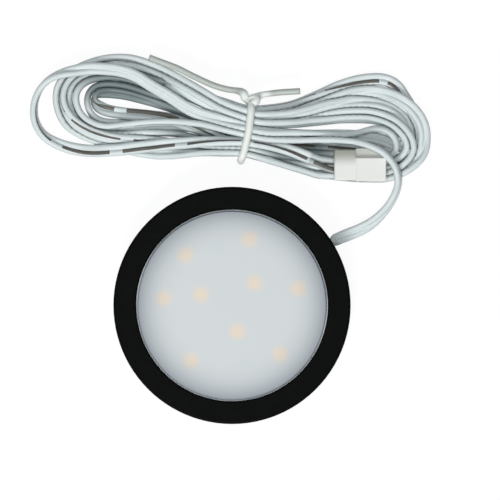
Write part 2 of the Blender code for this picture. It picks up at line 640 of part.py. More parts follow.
def twist_tie(parts, sleeve):
    """The coated wire tie: a loop round the hank's waist, one twist and two tails."""
    top = HANK_HEIGHT + CLEARANCE + TIE_RADIUS
    under = TIE_RADIUS + CLEARANCE / 2
    outside = TIE_RADIUS + CLEARANCE
    near = TIE_PLACE + TIE_LEAN
    far = TIE_PLACE - TIE_LEAN
    axis_start = Vector((near, WAIST_TOP + 2 * outside + TIE_RADIUS, TWIST_LEVEL))
    axis_end = axis_start + Vector((0, TWIST_LENGTH, 0))
    over_strand = twist_points(axis_start, axis_end, 0.0)
    under_strand = twist_points(axis_start, axis_end, 180.0)
    left = [Vector((x, y, TWIST_LEVEL + TIE_RADIUS)) for x, y in TIE_LEFT_TAIL]
    right = [Vector((x, y, TWIST_LEVEL - TIE_RADIUS)) for x, y in TIE_RIGHT_TAIL]
    round_waist = [
        (near, WAIST_TOP + outside, top - TIE_RADIUS),
        (near, WAIST_TOP - TIE_RADIUS, top),
        (TIE_PLACE, (WAIST_TOP + WAIST_FOOT) / 2, top),
        (far, WAIST_FOOT + TIE_RADIUS, top),
        (far, WAIST_FOOT - outside, top - TIE_RADIUS),
        (far, WAIST_FOOT - outside - CLEARANCE, HANK_HEIGHT / 2),
        (far, WAIST_FOOT - outside, under + TIE_RADIUS),
        (far, WAIST_FOOT + TIE_RADIUS, under),
        (TIE_PLACE, (WAIST_TOP + WAIST_FOOT) / 2, under),
        (near, WAIST_TOP - TIE_RADIUS, under),
        (near, WAIST_TOP + outside, under + TIE_RADIUS),
    ]
    route = left[::-1] + over_strand[::-1] + round_waist + under_strand + right
    return dress(tube("twist_tie", along(route, TIE_DIAMETER), TIE_RADIUS, parts), sleeve)


def main():
    """Builds the lamp, its lead and its connector."""
    clear_objects()
    parts = collection("led_downlight")
    tools = collection("cutters")
    black = surface("matt_black", (0.012, 0.013, 0.013), 0.55)
    moulded = surface("black_moulding", (0.02, 0.02, 0.021), 0.6)
    opal = surface("opal", (0.78, 0.82, 0.85), 0.45)
    white = surface("white_moulding", (0.86, 0.87, 0.87), 0.5)
    mask = surface("board_mask", (0.88, 0.89, 0.88), 0.35)
    grey = surface("thermal_grey", (0.45, 0.47, 0.5), 0.85)
    phosphor = surface("phosphor", (0.93, 0.78, 0.38), 0.4)
    ceramic = surface("resistor_black", (0.05, 0.05, 0.055), 0.45)
    solder = surface("solder", (0.72, 0.73, 0.74), 0.3, 1.0)
    jacket = surface("cable_white", (0.8, 0.85, 0.88), 0.5)
    ivory = surface("connector_ivory", (0.88, 0.88, 0.84), 0.45)
    tin = surface("tinned_pin", (0.78, 0.78, 0.76), 0.25, 1.0)
    sleeve = surface("tie_sleeve", (0.72, 0.77, 0.73), 0.5)

    bezel_ring(parts, tools, black)
    back_housing(parts, tools, moulded)
    diffuser(parts, opal)
    spacer_ring(parts, white)
    led_board(parts, tools, mask)
    thermal_pad(parts, grey)
    board_components(parts, phosphor, ceramic)
    inner_cores(parts, jacket, solder)
    cable_lead(parts, jacket)
    cable_hank(parts, tools, jacket)
    end_cores(parts, jacket)
    connector(parts, tools, ivory, tin)
    twist_tie(parts, sleeve)


main()
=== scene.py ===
"""Looks of a round LED downlight with its flat lead tied in a hank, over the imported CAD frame.

Sizes in the dataclasses are millimetres; meshes are made in metres, in the frame of the CAD model.
"""

from __future__ import annotations

import json
import logging
import math
from dataclasses import dataclass
from enum import Enum
from typing import Any, Iterable, Sequence

import bmesh
import bpy
import numpy as np
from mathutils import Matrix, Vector

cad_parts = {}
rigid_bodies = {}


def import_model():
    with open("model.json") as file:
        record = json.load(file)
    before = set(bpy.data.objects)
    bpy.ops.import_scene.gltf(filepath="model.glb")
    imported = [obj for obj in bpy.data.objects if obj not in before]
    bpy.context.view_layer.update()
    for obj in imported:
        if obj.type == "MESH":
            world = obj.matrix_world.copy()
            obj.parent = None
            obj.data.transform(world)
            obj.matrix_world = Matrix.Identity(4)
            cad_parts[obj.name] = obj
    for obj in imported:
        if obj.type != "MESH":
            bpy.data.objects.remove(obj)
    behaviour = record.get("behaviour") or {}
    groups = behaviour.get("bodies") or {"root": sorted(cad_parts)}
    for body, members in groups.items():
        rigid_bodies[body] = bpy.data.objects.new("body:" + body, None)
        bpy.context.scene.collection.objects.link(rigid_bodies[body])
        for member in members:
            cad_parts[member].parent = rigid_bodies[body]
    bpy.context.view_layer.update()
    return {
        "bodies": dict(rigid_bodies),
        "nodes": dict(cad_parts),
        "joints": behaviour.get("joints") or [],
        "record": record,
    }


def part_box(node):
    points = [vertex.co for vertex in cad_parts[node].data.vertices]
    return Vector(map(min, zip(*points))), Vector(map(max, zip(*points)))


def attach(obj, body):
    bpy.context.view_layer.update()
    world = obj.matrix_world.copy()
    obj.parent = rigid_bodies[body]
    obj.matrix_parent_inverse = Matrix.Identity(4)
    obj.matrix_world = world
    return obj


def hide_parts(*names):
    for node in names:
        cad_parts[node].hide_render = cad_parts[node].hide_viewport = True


log = logging.getLogger("led_downlight")
MM = 0.001
Colour = tuple[float, float, float]
Span = tuple[float, float]
Points = tuple[tuple[float, float, float], ...]
WHITE: Colour = (1.0, 1.0, 1.0)
# Several sockets of a Mix node share a name, so its colour sockets go by their places.
MIX_FACTOR, MIX_FIRST, MIX_SECOND, MIX_RESULT = 0, 6, 7, 2


class SeenRay(Enum):
    """The rays that see the surroundings as a background, by the names of Light Path's outputs."""

    CAMERA = "Is Camera Ray"
    GLOSSY = "Is Glossy Ray"
    CLEAR = "Is Transmission Ray"


class Slot(Enum):
    """The record's material slots."""

    BEZEL = "bezel_black"
    HOUSING = "housing_black"
    LENS = "opal_lens"
    SPACER = "spacer_white"
    BOARD = "board_white"
    PAD = "thermal_grey"
    LED = "led_phosphor"
    RESISTOR = "resistor_black"
    SOLDER = "solder"
    CABLE = "cable_white"
    CONNECTOR = "connector_ivory"
    PIN = "pin_tin"
    TIE = "tie_sleeve"


class Sock:
    """One output socket of a node graph, with arithmetic that adds Math, Vector Math or Mix nodes."""

    def __init__(self, graph: Graph, socket: bpy.types.NodeSocket) -> None:
        """Wraps an output socket of a graph."""
        self.graph = graph
        self.socket = socket

    @property
    def is_vector(self) -> bool:
        """Whether arithmetic on this socket works on three numbers."""
        return self.socket.type in {"VECTOR", "RGBA"}

    def _math(self, operation: str, *values: Any) -> Sock:
        """Adds a Vector Math node if any value is a vector, and else a Math node.

        Args:
            operation: The node's operation.
            values: Its inputs in order; numbers, vectors or sockets.

        Returns:
            The node's output.
        """
        if any(isinstance(value, Sock) and value.is_vector for value in values):
            return self.graph.vector_math(operation, *values)
        return self.graph.math(operation, *values)

    def __add__(self, other: Any) -> Sock:
        """This plus another."""
        return self._math("ADD", self, other)

    def __radd__(self, other: Any) -> Sock:
        """Another plus this."""
        return self._math("ADD", other, self)

    def __sub__(self, other: Any) -> Sock:
        """This less another."""
        return self._math("SUBTRACT", self, other)

    def __rsub__(self, other: Any) -> Sock:
        """Another less this."""
        return self._math("SUBTRACT", other, self)

    def __mul__(self, other: Any) -> Sock:
        """This times another."""
        return self._math("MULTIPLY", self, other)

    def __rmul__(self, other: Any) -> Sock:
        """Another times this."""
        return self._math("MULTIPLY", other, self)

    def __truediv__(self, other: Any) -> Sock:
        """This over another."""
        return self._math("DIVIDE", self, other)

    def __rtruediv__(self, other: Any) -> Sock:
        """Another over this."""
        return self._math("DIVIDE", other, self)

    def __pow__(self, other: Any) -> Sock:
        """This number to the power of another."""
        return self.graph.math("POWER", self, other)

    def __rpow__(self, other: Any) -> Sock:
        """Another number to the power of this."""
        return self.graph.math("POWER", other, self)

    def length(self) -> Sock:
        """The length of a vector socket."""
        return self.graph.vector_math("LENGTH", self, output="Value")

    def smooth(self, low: float, high: float) -> Sock:
        """A soft step of this value, 0 at low and 1 at high, which may be less than low."""
        return self.graph.node("ShaderNodeMapRange", {"interpolation_type": "SMOOTHSTEP"},
                               {"Value": self, "From Min": low, "From Max": high}, "Result")

    def blend(self, first: Any, second: Any) -> Sock:
        """The first colour where this value is 0, the second where it is 1, and a mix between."""
        return self.graph.node("ShaderNodeMix", {"data_type": "RGBA"},
                               {MIX_FACTOR: self, MIX_FIRST: first, MIX_SECOND: second}, MIX_RESULT)


@dataclass(frozen=True)
class Grain:
    """Fine grain: its noise's scale per metre, and the roughness and the height in metres that it gives."""

    scale: float
    smoothest: float
    spread: float
    depth: float
    detail: float = 4.0


class Graph:
    """The node tree of a material or of the world, with its main shader."""

    def __init__(self, owner: bpy.types.Material | bpy.types.World) -> None:
        """Switches the nodes on.

        Args:
            owner: A new material or world.
        """
        owner.use_nodes = True
        self.owner = owner
        self.tree = owner.node_tree
        self.out = next(node for node in self.tree.nodes if node.name.endswith("Output"))
        self.shader = next(node for node in self.tree.nodes if node != self.out)

    @classmethod
    def surface(cls, name: str) -> Graph:
        """The graph of a new material."""
        return cls(bpy.data.materials.new(name))

    def _feed(self, target: bpy.types.NodeSocket, value: Any) -> None:
        """Links or sets an input.

        Args:
            target: The input.
            value: A socket to link, or a number, vector or colour.
        """
        if isinstance(value, Sock):
            self.tree.links.new(value.socket, target)
        elif isinstance(value, (tuple, list)) and target.type == "RGBA" and len(value) == 3:
            target.default_value = (*value, 1.0)
        elif isinstance(value, (int, float)) and target.type in {"VECTOR", "RGBA"}:
            target.default_value = [value] * len(target.default_value)
        else:
            target.default_value = value

    def node(self, kind: str, settings: dict[str, Any], inputs: dict[Any, Any], output: Any = 0) -> Sock:
        """Adds any node.

        Args:
            kind: The node's type name.
            settings: Its properties.
            inputs: Its inputs, by name or index; a value or a socket.
            output: The name or index of the output that is returned.

        Returns:
            The output socket.
        """
        made = self.tree.nodes.new(kind)
        for key, value in settings.items():
            setattr(made, key, value)
        for key, value in inputs.items():
            self._feed(made.inputs[key], value)
        return Sock(self, made.outputs[output])

    def math(self, operation: str, *values: Any) -> Sock:
        """Adds a Math node on plain numbers or sockets."""
        return self.node("ShaderNodeMath", {"operation": operation}, dict(enumerate(values)))

    def vector_math(self, operation: str, *values: Any, output: str = "Vector") -> Sock:
        """Adds a Vector Math node on vectors, numbers or sockets."""
        return self.node("ShaderNodeVectorMath", {"operation": operation}, dict(enumerate(values)), output)

    def point(self) -> Sock:
        """The shaded point in the object's own frame, in metres."""
        return self.node("ShaderNodeTexCoord", {}, {}, "Object")

    def along_axis(self, axis: str) -> Sock:
        """The shaded point's place along one axis, in metres."""
        return self.node("ShaderNodeSeparateXYZ", {}, {0: self.point()}, axis)

    def noise(self, scale: float, detail: float, at: Sock | None = None) -> Sock:
        """Noise of a given scale per metre, from 0 to 1."""
        return self.node("ShaderNodeTexNoise", {}, {"Vector": at or self.point(), "Scale": scale,
                                                    "Detail": detail}, "Fac")

    def attribute(self, name: str) -> Sock:
        """A number stored on the mesh."""
        return self.node("ShaderNodeAttribute", {"attribute_name": name}, {}, "Fac")

    def grain(self, grain: Grain, at: Sock | None = None) -> Sock:
        """Roughens and bumps the surface by one noise.

        Args:
            grain: The grain.
            at: Where the noise is read, if not at the shaded point.

        Returns:
            The noise, from 0 to 1.
        """
        height = self.noise(grain.scale, grain.detail, at)
        bump = self.node("ShaderNodeBump", {}, {"Height": height, "Distance": grain.depth}, "Normal")
        self.set(Roughness=height * grain.spread + grain.smoothest, Normal=bump)
        return height

    def set(self, **inputs: Any) -> None:
        """Sets or links the shader's inputs; an underscore stands for a space."""
        for key, value in inputs.items():
            self._feed(self.shader.inputs[key.replace("_", " ")], value)

    def show_white(self, light: str, strength: float, share: float) -> None:
        """Mixes white into what the camera, a reflection or a clear piece sees here.

        Args:
            light: The type name of the shader node that gives the white.
            strength: Its strength, where 1 is white.
            share: Its share of what is seen.
        """
        white = self.node(light, {}, {"Color": WHITE, "Strength": strength})
        seen = sum(self.node("ShaderNodeLightPath", {}, {}, ray.value) for ray in SeenRay)
        own = Sock(self, self.shader.outputs[0])
        mixed = self.node("ShaderNodeMixShader", {}, {0: seen * share, 1: own, 2: white})
        self._feed(self.out.inputs["Surface"], mixed)


@dataclass(frozen=True)
class Finish:
    """A painted, moulded or soft surface with fine mottling and grain."""

    name: str
    colour: Colour
    mottled: Colour
    roughness: float = 0.5
    roughness_spread: float = 0.08
    grain: float = 900.0
    grain_depth: float = 0.00002
    metallic: float = 0.0
    specular: float = 0.5
    cloud_scale: float = 0.16
    cloud_detail: float = 3.0
    cloud_edge: Span = (0.35, 0.7)

    def build(self) -> bpy.types.Material:
        """Makes the material.

        Returns:
            The material.
        """
        graph = Graph.surface(self.name)
        cloud = graph.noise(self.grain * self.cloud_scale, self.cloud_detail).smooth(*self.cloud_edge)
        graph.set(Base_Color=cloud.blend(self.colour, self.mottled), Metallic=self.metallic,
                  Specular_IOR_Level=self.specular)
        graph.grain(Grain(self.grain, self.roughness - self.roughness_spread, 2 * self.roughness_spread,
                          self.grain_depth))
        return graph.owner


@dataclass(frozen=True)
class JacketFinish:
    """The lead's flexible jacket, faintly drawn along its length, with painted shade in its hollows and
    crevices.
    """

    name: str = Slot.CABLE.value
    colour: Colour = (0.70, 0.765, 0.765)
    mottled: Colour = (0.67, 0.735, 0.738)
    # Painted shade deep in the hank's hollows, under higher turns.
    painted_hollow_shade: Colour = (0.135, 0.175, 0.18)
    # Painted shade in the crevice beside another turn.
    crevice: Colour = (0.035, 0.048, 0.05)
    dust_scale: float = 260.0
    dust_detail: float = 3.0
    dust_share: float = 0.6
    draw_along: float = 30.0
    draw_around: float = 5.0
    mottle_edge: Span = (0.4, 0.65)
    specular: float = 0.42
    drawn: Grain = Grain(1.0, 0.35, 0.14, 0.00001, 3.0)

    def build(self) -> bpy.types.Material:
        """Makes the material.

        Returns:
            The material.
        """
        graph = Graph.surface(self.name)
        line = graph.node("ShaderNodeCombineXYZ", {}, {"X": graph.attribute("along") * self.draw_along,
                                                       "Y": graph.attribute("around") * self.draw_around})
        draw = graph.grain(self.drawn, line)
        dust = graph.noise(self.dust_scale, self.dust_detail)
        mottle = (dust * self.dust_share + draw * (1 - self.dust_share)).smooth(*self.mottle_edge)
        # Painted shade: the colour darkens where a turn lies deep in a hollow between higher turns.
        shaded = graph.attribute("painted_shade_share").blend(mottle.blend(self.colour, self.mottled), self.painted_hollow_shade)
        # Painted shade: darker still in the crevice beside another turn.
        graph.set(Base_Color=graph.attribute("near").blend(shaded, self.crevice),
                  Specular_IOR_Level=self.specular)
        return graph.owner


@dataclass(frozen=True)
class OpalFinish:
    """The frosted lens, with the LEDs as soft warm spots, and painted shade at its rim where the ring shades
    it.
    """

    name: str = Slot.LENS.value
    colour: Colour = (0.595, 0.632, 0.642)
    # Painted shade at the rim, next to the bezel ring.
    painted_rim_shade: Colour = (0.21, 0.245, 0.275)
    warm: Colour = (0.76, 0.64, 0.505)
    hole: Colour = (0.52, 0.58, 0.61)
    spot_radius: float = 3.1
    spot_gain: float = 1.15
    spot_most: float = 0.85
    hole_radius: float = 3.6
    hole_share: float = 0.28
    radius: float = 24.0
    shade_width: float = 11.0
    shade_power: float = 2.6
    front: Span = (9.6, 10.1)
    specular: float = 0.4
    grain: Grain = Grain(1400.0, 0.36, 0.1, 0.00002)

    def build(self, leds: Sequence[Vector], holes: Sequence[Vector]) -> bpy.types.Material:
        """Makes the material.

        Args:
            leds: The LEDs' middles, in metres.
            holes: The middles of the two dark spots over the screw holes, in metres.

        Returns:
            The material.
        """
        graph = Graph.surface(self.name)
        flat = graph.point() * (1.0, 1.0, 0.0)

        def spots(places: Sequence[Vector], radius: float) -> Sock:
            """Soft round spots of one radius at the given places."""
            away = [(flat - (place.x, place.y, 0.0)).length() for place in places]
            return sum(distance.smooth(radius * MM, 0.0) for distance in away)

        dark = spots(holes, self.hole_radius) * self.hole_share
        glow = graph.math("MINIMUM", spots(leds, self.spot_radius) * self.spot_gain, self.spot_most)
        # Painted shade: the front face darkens towards its rim, as in the bezel ring's shade.
        edge = (self.radius * MM - flat.length()) / (self.shade_width * MM)
        shade = graph.math("MAXIMUM", 1.0 - edge, 0.0) ** self.shade_power
        front = graph.along_axis("Z").smooth(self.front[0] * MM, self.front[1] * MM)
        lit = glow.blend(dark.blend(self.colour, self.hole), self.warm)
        graph.set(Base_Color=(shade * front).blend(lit, self.painted_rim_shade), Specular_IOR_Level=self.specular)
        graph.grain(self.grain)
        return graph.owner


@dataclass(frozen=True)
class ConnectorFinish:
    """Ivory nylon, with painted shade where the collar's face falls away and on the ledge behind it."""

    name: str = Slot.CONNECTOR.value
    colour: Colour = (0.79, 0.80, 0.765)
    # The colour of the painted shade.
    shaded: Colour = (0.27, 0.288, 0.238)
    collar_edge: Span = (31.45, 31.15)
    collar_fall: Span = (34.8, 39.0)
    ledge_edge: Span = (37.15, 37.35)
    ledge_share: float = 0.55
    specular: float = 0.4
    grain: Grain = Grain(900.0, 0.36, 0.12, 0.00002)

    def build(self) -> bpy.types.Material:
        """Makes the material.

        Returns:
            The material.
        """
        graph = Graph.surface(self.name)

        def step(axis: str, edge: Span) -> Sock:
            """A soft step along an axis, from the first to the second place."""
            return graph.along_axis(axis).smooth(edge[0] * MM, edge[1] * MM)

        # Painted shade: greyer where the collar's face falls away from the light, and on the ledge behind the
        # collar.
        collar = step("X", self.collar_edge)
        ledge = step("Y", self.ledge_edge) * (1.0 - collar) * self.ledge_share
        grey = step("Y", self.collar_fall) * collar + ledge
        graph.set(Base_Color=grey.blend(self.colour, self.shaded), Specular_IOR_Level=self.specular)
        graph.grain(self.grain)
        return graph.owner


@dataclass(frozen=True)
class TieFinish:
    """The tie's sleeve: paler where it is drawn tight round the hank than along its two tails."""

    name: str = Slot.TIE.value
    tight: Colour = (0.86, 0.90, 0.85)
    tail: Colour = (0.47, 0.51, 0.475)
    starts: Span = (0.28, 0.31)
    stops: Span = (0.89, 0.92)
    grain: Grain = Grain(1100.0, 0.34, 0.1, 0.00003, 2.0)

    def build(self) -> bpy.types.Material:
        """Makes the material.

        Returns:
            The material.
        """
        graph = Graph.surface(self.name)
        along = graph.attribute("along")
        drawn = along.smooth(*self.starts) * (1.0 - along.smooth(*self.stops))
        graph.set(Base_Color=drawn.blend(self.tail, self.tight))
        graph.grain(self.grain)
        return graph.owner


@dataclass(frozen=True)
class FloorFinish:
    """A pale floor that the camera sees as white, with a faint soft shadow under the lamp."""

    name: str = "floor"
    colour: Colour = (0.45, 0.46, 0.47)
    roughness: float = 0.8
    white: float = 1.16
    white_share: float = 0.8

    def build(self) -> bpy.types.Material:
        """Makes the material.

        Returns:
            The material.
        """
        graph = Graph.surface(self.name)
        graph.set(Base_Color=self.colour, Roughness=self.roughness)
        graph.show_white("ShaderNodeEmission", self.white, self.white_share)
        return graph.owner


# The lead's stations from the lamp to the connector: x, y and z, and the degrees that the marked core
# has turned from straight up towards the left of travel.
ROUTE = {
    "lead": (
        (14.4, 9.1, 2.7, 90), (18.9, 12.0, 2.7, 90), (23.7, 15.0, 2.6, 90), (25.9, 16.4, 2.2, 450),
        (29.0, 17.7, 1.4, 449), (32.7, 19.2, 1.2, 438), (35.5, 20.8, 1.3, 412), (37.9, 22.9, 1.5, 394),
        (40.1, 25.6, 1.9, 380), (41.6, 28.8, 2.8, 370), (42.1, 31.3, 4.4, 364), (41.9, 33.4, 5.8, 364),
        (41.2, 35.5, 6.6, 364), (39.9, 37.3, 7.4, 364), (37.9, 39.1, 8.2, 364), (34.9, 40.5, 8.2, 364),
        (31.2, 41.6, 7.2, 364), (26.9, 42.0, 6.4, 364), (22.3, 42.1, 6, 362), (14.7, 42.1, 6, 360),
    ),
    "waist 1": (
        (7.6, 42.7, 6.3, 358), (3.0, 44.0, 6.3, 355), (-2.6, 45.2, 5.8, 352), (-8.2, 46.3, 5, 352),
        (-14.5, 46.7, 4.2, 352), (-20.9, 46.6, 3.7, 354), (-27.3, 46.0, 3.5, 356), (-32.4, 45.6, 3.5, 360),
        (-35.8, 46.7, 3.3, 360),
    ),
    "left turn 1": (
        (-38.6, 49.0, 2.8, 360), (-39.9, 52.7, 2.8, 360), (-39.3, 55.3, 2.6, 360), (-37.0, 57.3, 2.1, 358),
        (-32.9, 58.3, 1.6, 354), (-27.3, 57.6, 1.6, 344),
    ),
    "waist 2": (
        (-21.0, 55.5, 1.4, 322), (-14.6, 53.8, 0.95, 300), (-8.2, 52.5, 0.95, 295), (-2.6, 51.0, 1.9, 315),
        (3.0, 49.5, 3, 330),
    ),
    "right turn 1": (
        (6.1, 49.5, 3, 340), (14.7, 50.6, 1.8, 340), (19.8, 52.3, 1.6, 335), (23.1, 53.5, 1.5, 325),
        (27.4, 55.2, 1.2, 305), (32.4, 56.7, 0.9, 290), (36.2, 57.2, 0.85, 285), (38.7, 57.1, 0.85, 284),
        (40.7, 56.3, 0.85, 283), (42.1, 55.1, 0.85, 282), (43.1, 53.4, 0.85, 281), (44.2, 51.6, 0.85, 280),
        (45.2, 49.7, 0.85, 278), (46.1, 47.9, 0.85, 277), (47.0, 45.9, 0.85, 276), (47.4, 44.1, 0.85, 276),
    ),
    "right turn 1, return": (
        (47.6, 42.3, 0.85, 276), (47.3, 40.5, 0.85, 276), (46.5, 38.7, 0.85, 276), (45.3, 37.1, 0.85, 276),
        (43.7, 35.8, 0.85, 277), (41.8, 35.1, 0.85, 278), (39.5, 34.7, 0.85, 278), (35.7, 34.7, 0.85, 284),
        (32.1, 34.9, 1, 310), (28.8, 35.1, 1.3, 342), (25.5, 35.0, 1.6, 360), (21.1, 35.3, 1.6, 360),
        (17.3, 36.2, 1.7, 360), (13.5, 37.6, 2, 360), (9.6, 38.9, 2.5, 360),
    ),
    "waist 3": (
        (6.1, 39.5, 3, 360), (3.0, 39.9, 3, 360), (-2.6, 41.2, 2.3, 365), (-8.2, 42.7, 1.7, 370),
        (-14.6, 44.0, 1.5, 385), (-21.0, 44.1, 1.3, 400), (-27.4, 43.8, 1, 425), (-33.2, 44.3, 0.9, 440),
        (-37.4, 46.2, 0.9, 445),
    ),
    "left turn 2": (
        (-39.9, 49.1, 0.9, 445), (-41.4, 52.9, 0.95, 440), (-40.5, 56.0, 1.2, 415), (-38.1, 58.2, 1.5, 385),
        (-33.7, 59.3, 1.6, 372), (-27.3, 59.0, 1.6, 372),
    ),
    "waist 4": (
        (-20.9, 57.1, 2, 400), (-14.6, 54.7, 2.5, 440), (-8.2, 52.1, 2.6, 430), (-2.6, 49.7, 2.6, 390),
        (3.0, 47.9, 3, 370),
    ),
    "right turn 2": (
        (6.1, 47.9, 3, 368), (14.7, 49.3, 1.9, 370), (19.8, 51.1, 1.6, 372), (24.9, 53.0, 1.6, 376),
        (28.8, 54.1, 1.5, 396), (32.1, 54.5, 1.1, 425), (34.9, 54.5, 0.85, 445), (37.5, 54.3, 0.95, 450),
        (39.7, 53.7, 1.5, 450), (42.0, 52.8, 2.2, 450), (44.0, 51.6, 2.45, 450), (45.8, 50.1, 2.45, 450),
        (47.2, 48.4, 2.45, 450),
    ),
    "right turn 2, return": (
        (48.2, 46.6, 2.45, 450), (48.7, 44.7, 2.45, 450), (48.8, 42.7, 2.45, 450), (48.6, 40.8, 2.6, 438),
        (48.2, 39.2, 2.9, 420), (47.2, 37.6, 3.1, 400), (45.7, 36.1, 3.2, 385), (44.0, 34.9, 3.2, 378),
        (42.0, 34.1, 3.1, 374), (40.0, 33.5, 2.7, 372), (37.7, 33.1, 2.2, 372), (34.6, 33.0, 1.7, 368),
        (31.3, 33.0, 1.6, 366), (28.0, 33.2, 1.6, 366), (24.9, 33.5, 1.7, 368), (21.9, 33.6, 2.1, 376),
        (18.6, 34.6, 2.8, 378), (14.7, 35.7, 3.9, 380), (10.9, 36.8, 5, 378),
    ),
    "waist 5": (
        (6.1, 38.2, 6, 372), (3.0, 39.0, 6, 370), (-2.6, 39.2, 5.2, 372), (-8.2, 39.2, 3.6, 385),
        (-13.8, 38.9, 2, 412), (-18.9, 38.9, 1.1, 440), (-23.3, 39.4, 0.85, 450), (-27.1, 40.2, 0.85, 447),
        (-30.7, 41.1, 0.85, 440), (-34.5, 42.1, 1.2, 405), (-38.6, 43.4, 1.6, 372),
    ),
    "left turn 3": (
        (-41.5, 44.9, 1.6, 366), (-43.4, 47.2, 1.6, 366), (-44.5, 50.0, 1.6, 366), (-44.8, 52.8, 1.6, 368),
        (-44.4, 55.0, 1.6, 372), (-43.2, 57.1, 1.6, 376), (-41.2, 58.7, 1.6, 380), (-38.6, 60.1, 1.6, 382),
        (-35.5, 61.4, 1.6, 384), (-32.4, 62.3, 1.6, 382), (-29.1, 62.7, 1.6, 382),
    ),
    "waist 6": (
        (-25.5, 62.5, 1.7, 384), (-20.9, 61.1, 2.2, 388), (-15.8, 58.7, 3.1, 394), (-8.7, 54.7, 4.8, 396),
        (-2.6, 51.1, 5.7, 396), (3.0, 49.0, 6.1, 396),
    ),
    "right turn 3": (
        (6.1, 48.0, 6.1, 398), (9.6, 48.0, 5.7, 400), (14.7, 48.4, 4.9, 406), (19.8, 49.6, 3.8, 416),
        (24.8, 51.1, 2.7, 430), (28.8, 51.7, 1.8, 456), (32.4, 51.9, 1.5, 474), (34.9, 51.7, 1.5, 484),
        (37.4, 51.2, 1.5, 488), (39.9, 50.3, 1.5, 490), (42.1, 49.0, 1.5, 490), (44.0, 47.2, 1.5, 488),
    ),
    "right turn 3, return": (
        (45.3, 45.2, 1.3, 480), (45.9, 43.3, 1, 465), (45.8, 41.3, 0.85, 455), (44.2, 40.1, 0.85, 450),
        (42.3, 40.1, 0.85, 450), (40.3, 40.9, 0.85, 450), (38.2, 41.6, 0.85, 450), (35.2, 42.3, 0.85, 450),
        (32.1, 42.6, 0.9, 460), (28.8, 42.9, 1.1, 485), (25.0, 43.3, 1.4, 515), (19.8, 43.6, 1.6, 535),
        (14.7, 44.0, 1.8, 540), (9.6, 44.4, 2.5, 540),
    ),
    "waist 7": (
        (6.1, 44.5, 3, 540), (3.0, 44.7, 2.9, 538), (0.0, 44.9, 1.9, 500), (-2.6, 45.1, 1, 475),
        (-8.2, 45.4, 0.85, 465), (-14.6, 45.7, 0.85, 465), (-21.0, 45.7, 0.85, 465),
        (-26.6, 45.3, 0.9, 470), (-30.7, 45.4, 1.1, 488), (-33.5, 46.3, 1.4, 515),
    ),
    "left turn 4": (
        (-35.5, 48.0, 1.6, 535), (-36.6, 50.4, 1.6, 540), (-36.7, 52.6, 1.6, 540), (-36.0, 54.5, 1.6, 538),
        (-34.8, 55.8, 1.6, 532), (-32.7, 56.6, 1.6, 526), (-30.1, 56.7, 1.6, 524), (-26.1, 56.1, 1.6, 524),
    ),
    "waist 8": (
        (-21.0, 54.1, 1.6, 524), (-14.6, 51.1, 1.7, 528), (-8.2, 49.2, 2.1, 532), (-2.6, 47.5, 2.6, 536),
        (3.0, 46.2, 3, 540),
    ),
    "right turn 4": (
        (6.1, 46.2, 3, 540), (14.7, 46.8, 1.9, 540), (22.4, 48.4, 1.6, 540), (26.2, 49.1, 1.6, 540),
        (29.9, 49.5, 1.6, 540), (34.9, 49.5, 1.6, 540), (37.7, 48.9, 1.7, 540), (40.2, 48.0, 1.9, 540),
        (42.4, 46.8, 2.3, 540), (44.1, 45.1, 2.8, 540), (45.4, 43.4, 3.2, 540),
    ),
    "right turn 4, return": (
        (46.1, 41.6, 3.3, 540), (46.3, 39.9, 3.2, 537), (45.6, 38.2, 3.15, 534), (44.3, 36.7, 3.1, 534),
        (42.4, 35.5, 3, 546), (40.2, 35.0, 2.7, 580), (37.7, 34.8, 2.45, 625), (34.6, 35.1, 2.45, 636),
        (31.6, 35.7, 2.4, 655), (28.8, 35.9, 2, 685), (26.2, 36.3, 1.7, 702), (22.4, 36.8, 1.8, 712),
        (19.8, 37.1, 2.1, 716), (17.3, 37.6, 2.8, 718), (14.7, 37.9, 3.7, 720), (12.2, 38.3, 4.5, 720),
        (9.6, 38.8, 5.1, 720),
    ),
    "waist 9": (
        (6.1, 39.6, 5.4, 718), (3.0, 40.1, 5.4, 714), (-2.6, 40.1, 4.6, 700), (-8.2, 40.5, 3, 685),
        (-13.3, 41.0, 1.8, 668), (-17.6, 41.6, 1.3, 655), (-21.0, 42.0, 1.4, 655), (-24.0, 42.3, 1.9, 652),
        (-27.6, 42.3, 2.4, 650), (-31.6, 42.8, 2.6, 650), (-36.2, 44.1, 2.9, 656),
    ),
    "left turn 5": (
        (-40.0, 46.4, 3, 670), (-42.3, 49.5, 2.9, 700), (-43.1, 52.9, 2.7, 712), (-42.3, 55.9, 2.3, 720),
        (-40.2, 58.4, 1.8, 728), (-36.6, 60.0, 1.6, 728), (-31.7, 60.7, 1.6, 728),
    ),
    "waist 10": (
        (-26.1, 60.4, 1.7, 738), (-20.9, 58.6, 2.2, 745), (-15.8, 56.3, 3.2, 750), (-8.7, 52.3, 4.8, 755),
        (-2.6, 49.0, 5.6, 755), (3.0, 47.1, 6, 750),
    ),
    "right turn 5": (
        (6.1, 46.1, 6, 748), (14.7, 46.1, 4.8, 748), (19.8, 46.7, 3.2, 748), (23.7, 47.1, 2.2, 748),
        (27.5, 47.5, 1.7, 748), (32.4, 47.5, 1.6, 748), (35.2, 47.3, 1.6, 742), (37.7, 46.7, 1.8, 735),
        (40.0, 45.7, 2.3, 728), (42.0, 44.3, 2.9, 724),
    ),
    "right turn 5, return": (
        (43.6, 42.5, 3.2, 722), (44.4, 40.7, 3.3, 720), (44.3, 39.0, 3.1, 720), (43.3, 37.3, 2.6, 720),
        (41.6, 36.0, 2, 720), (39.5, 35.4, 1.7, 720), (36.9, 35.7, 1.6, 720), (34.1, 36.6, 1.6, 720),
        (31.3, 37.1, 1.6, 720), (26.2, 37.7, 1.6, 720), (21.1, 38.4, 1.7, 720), (14.7, 39.8, 2, 718),
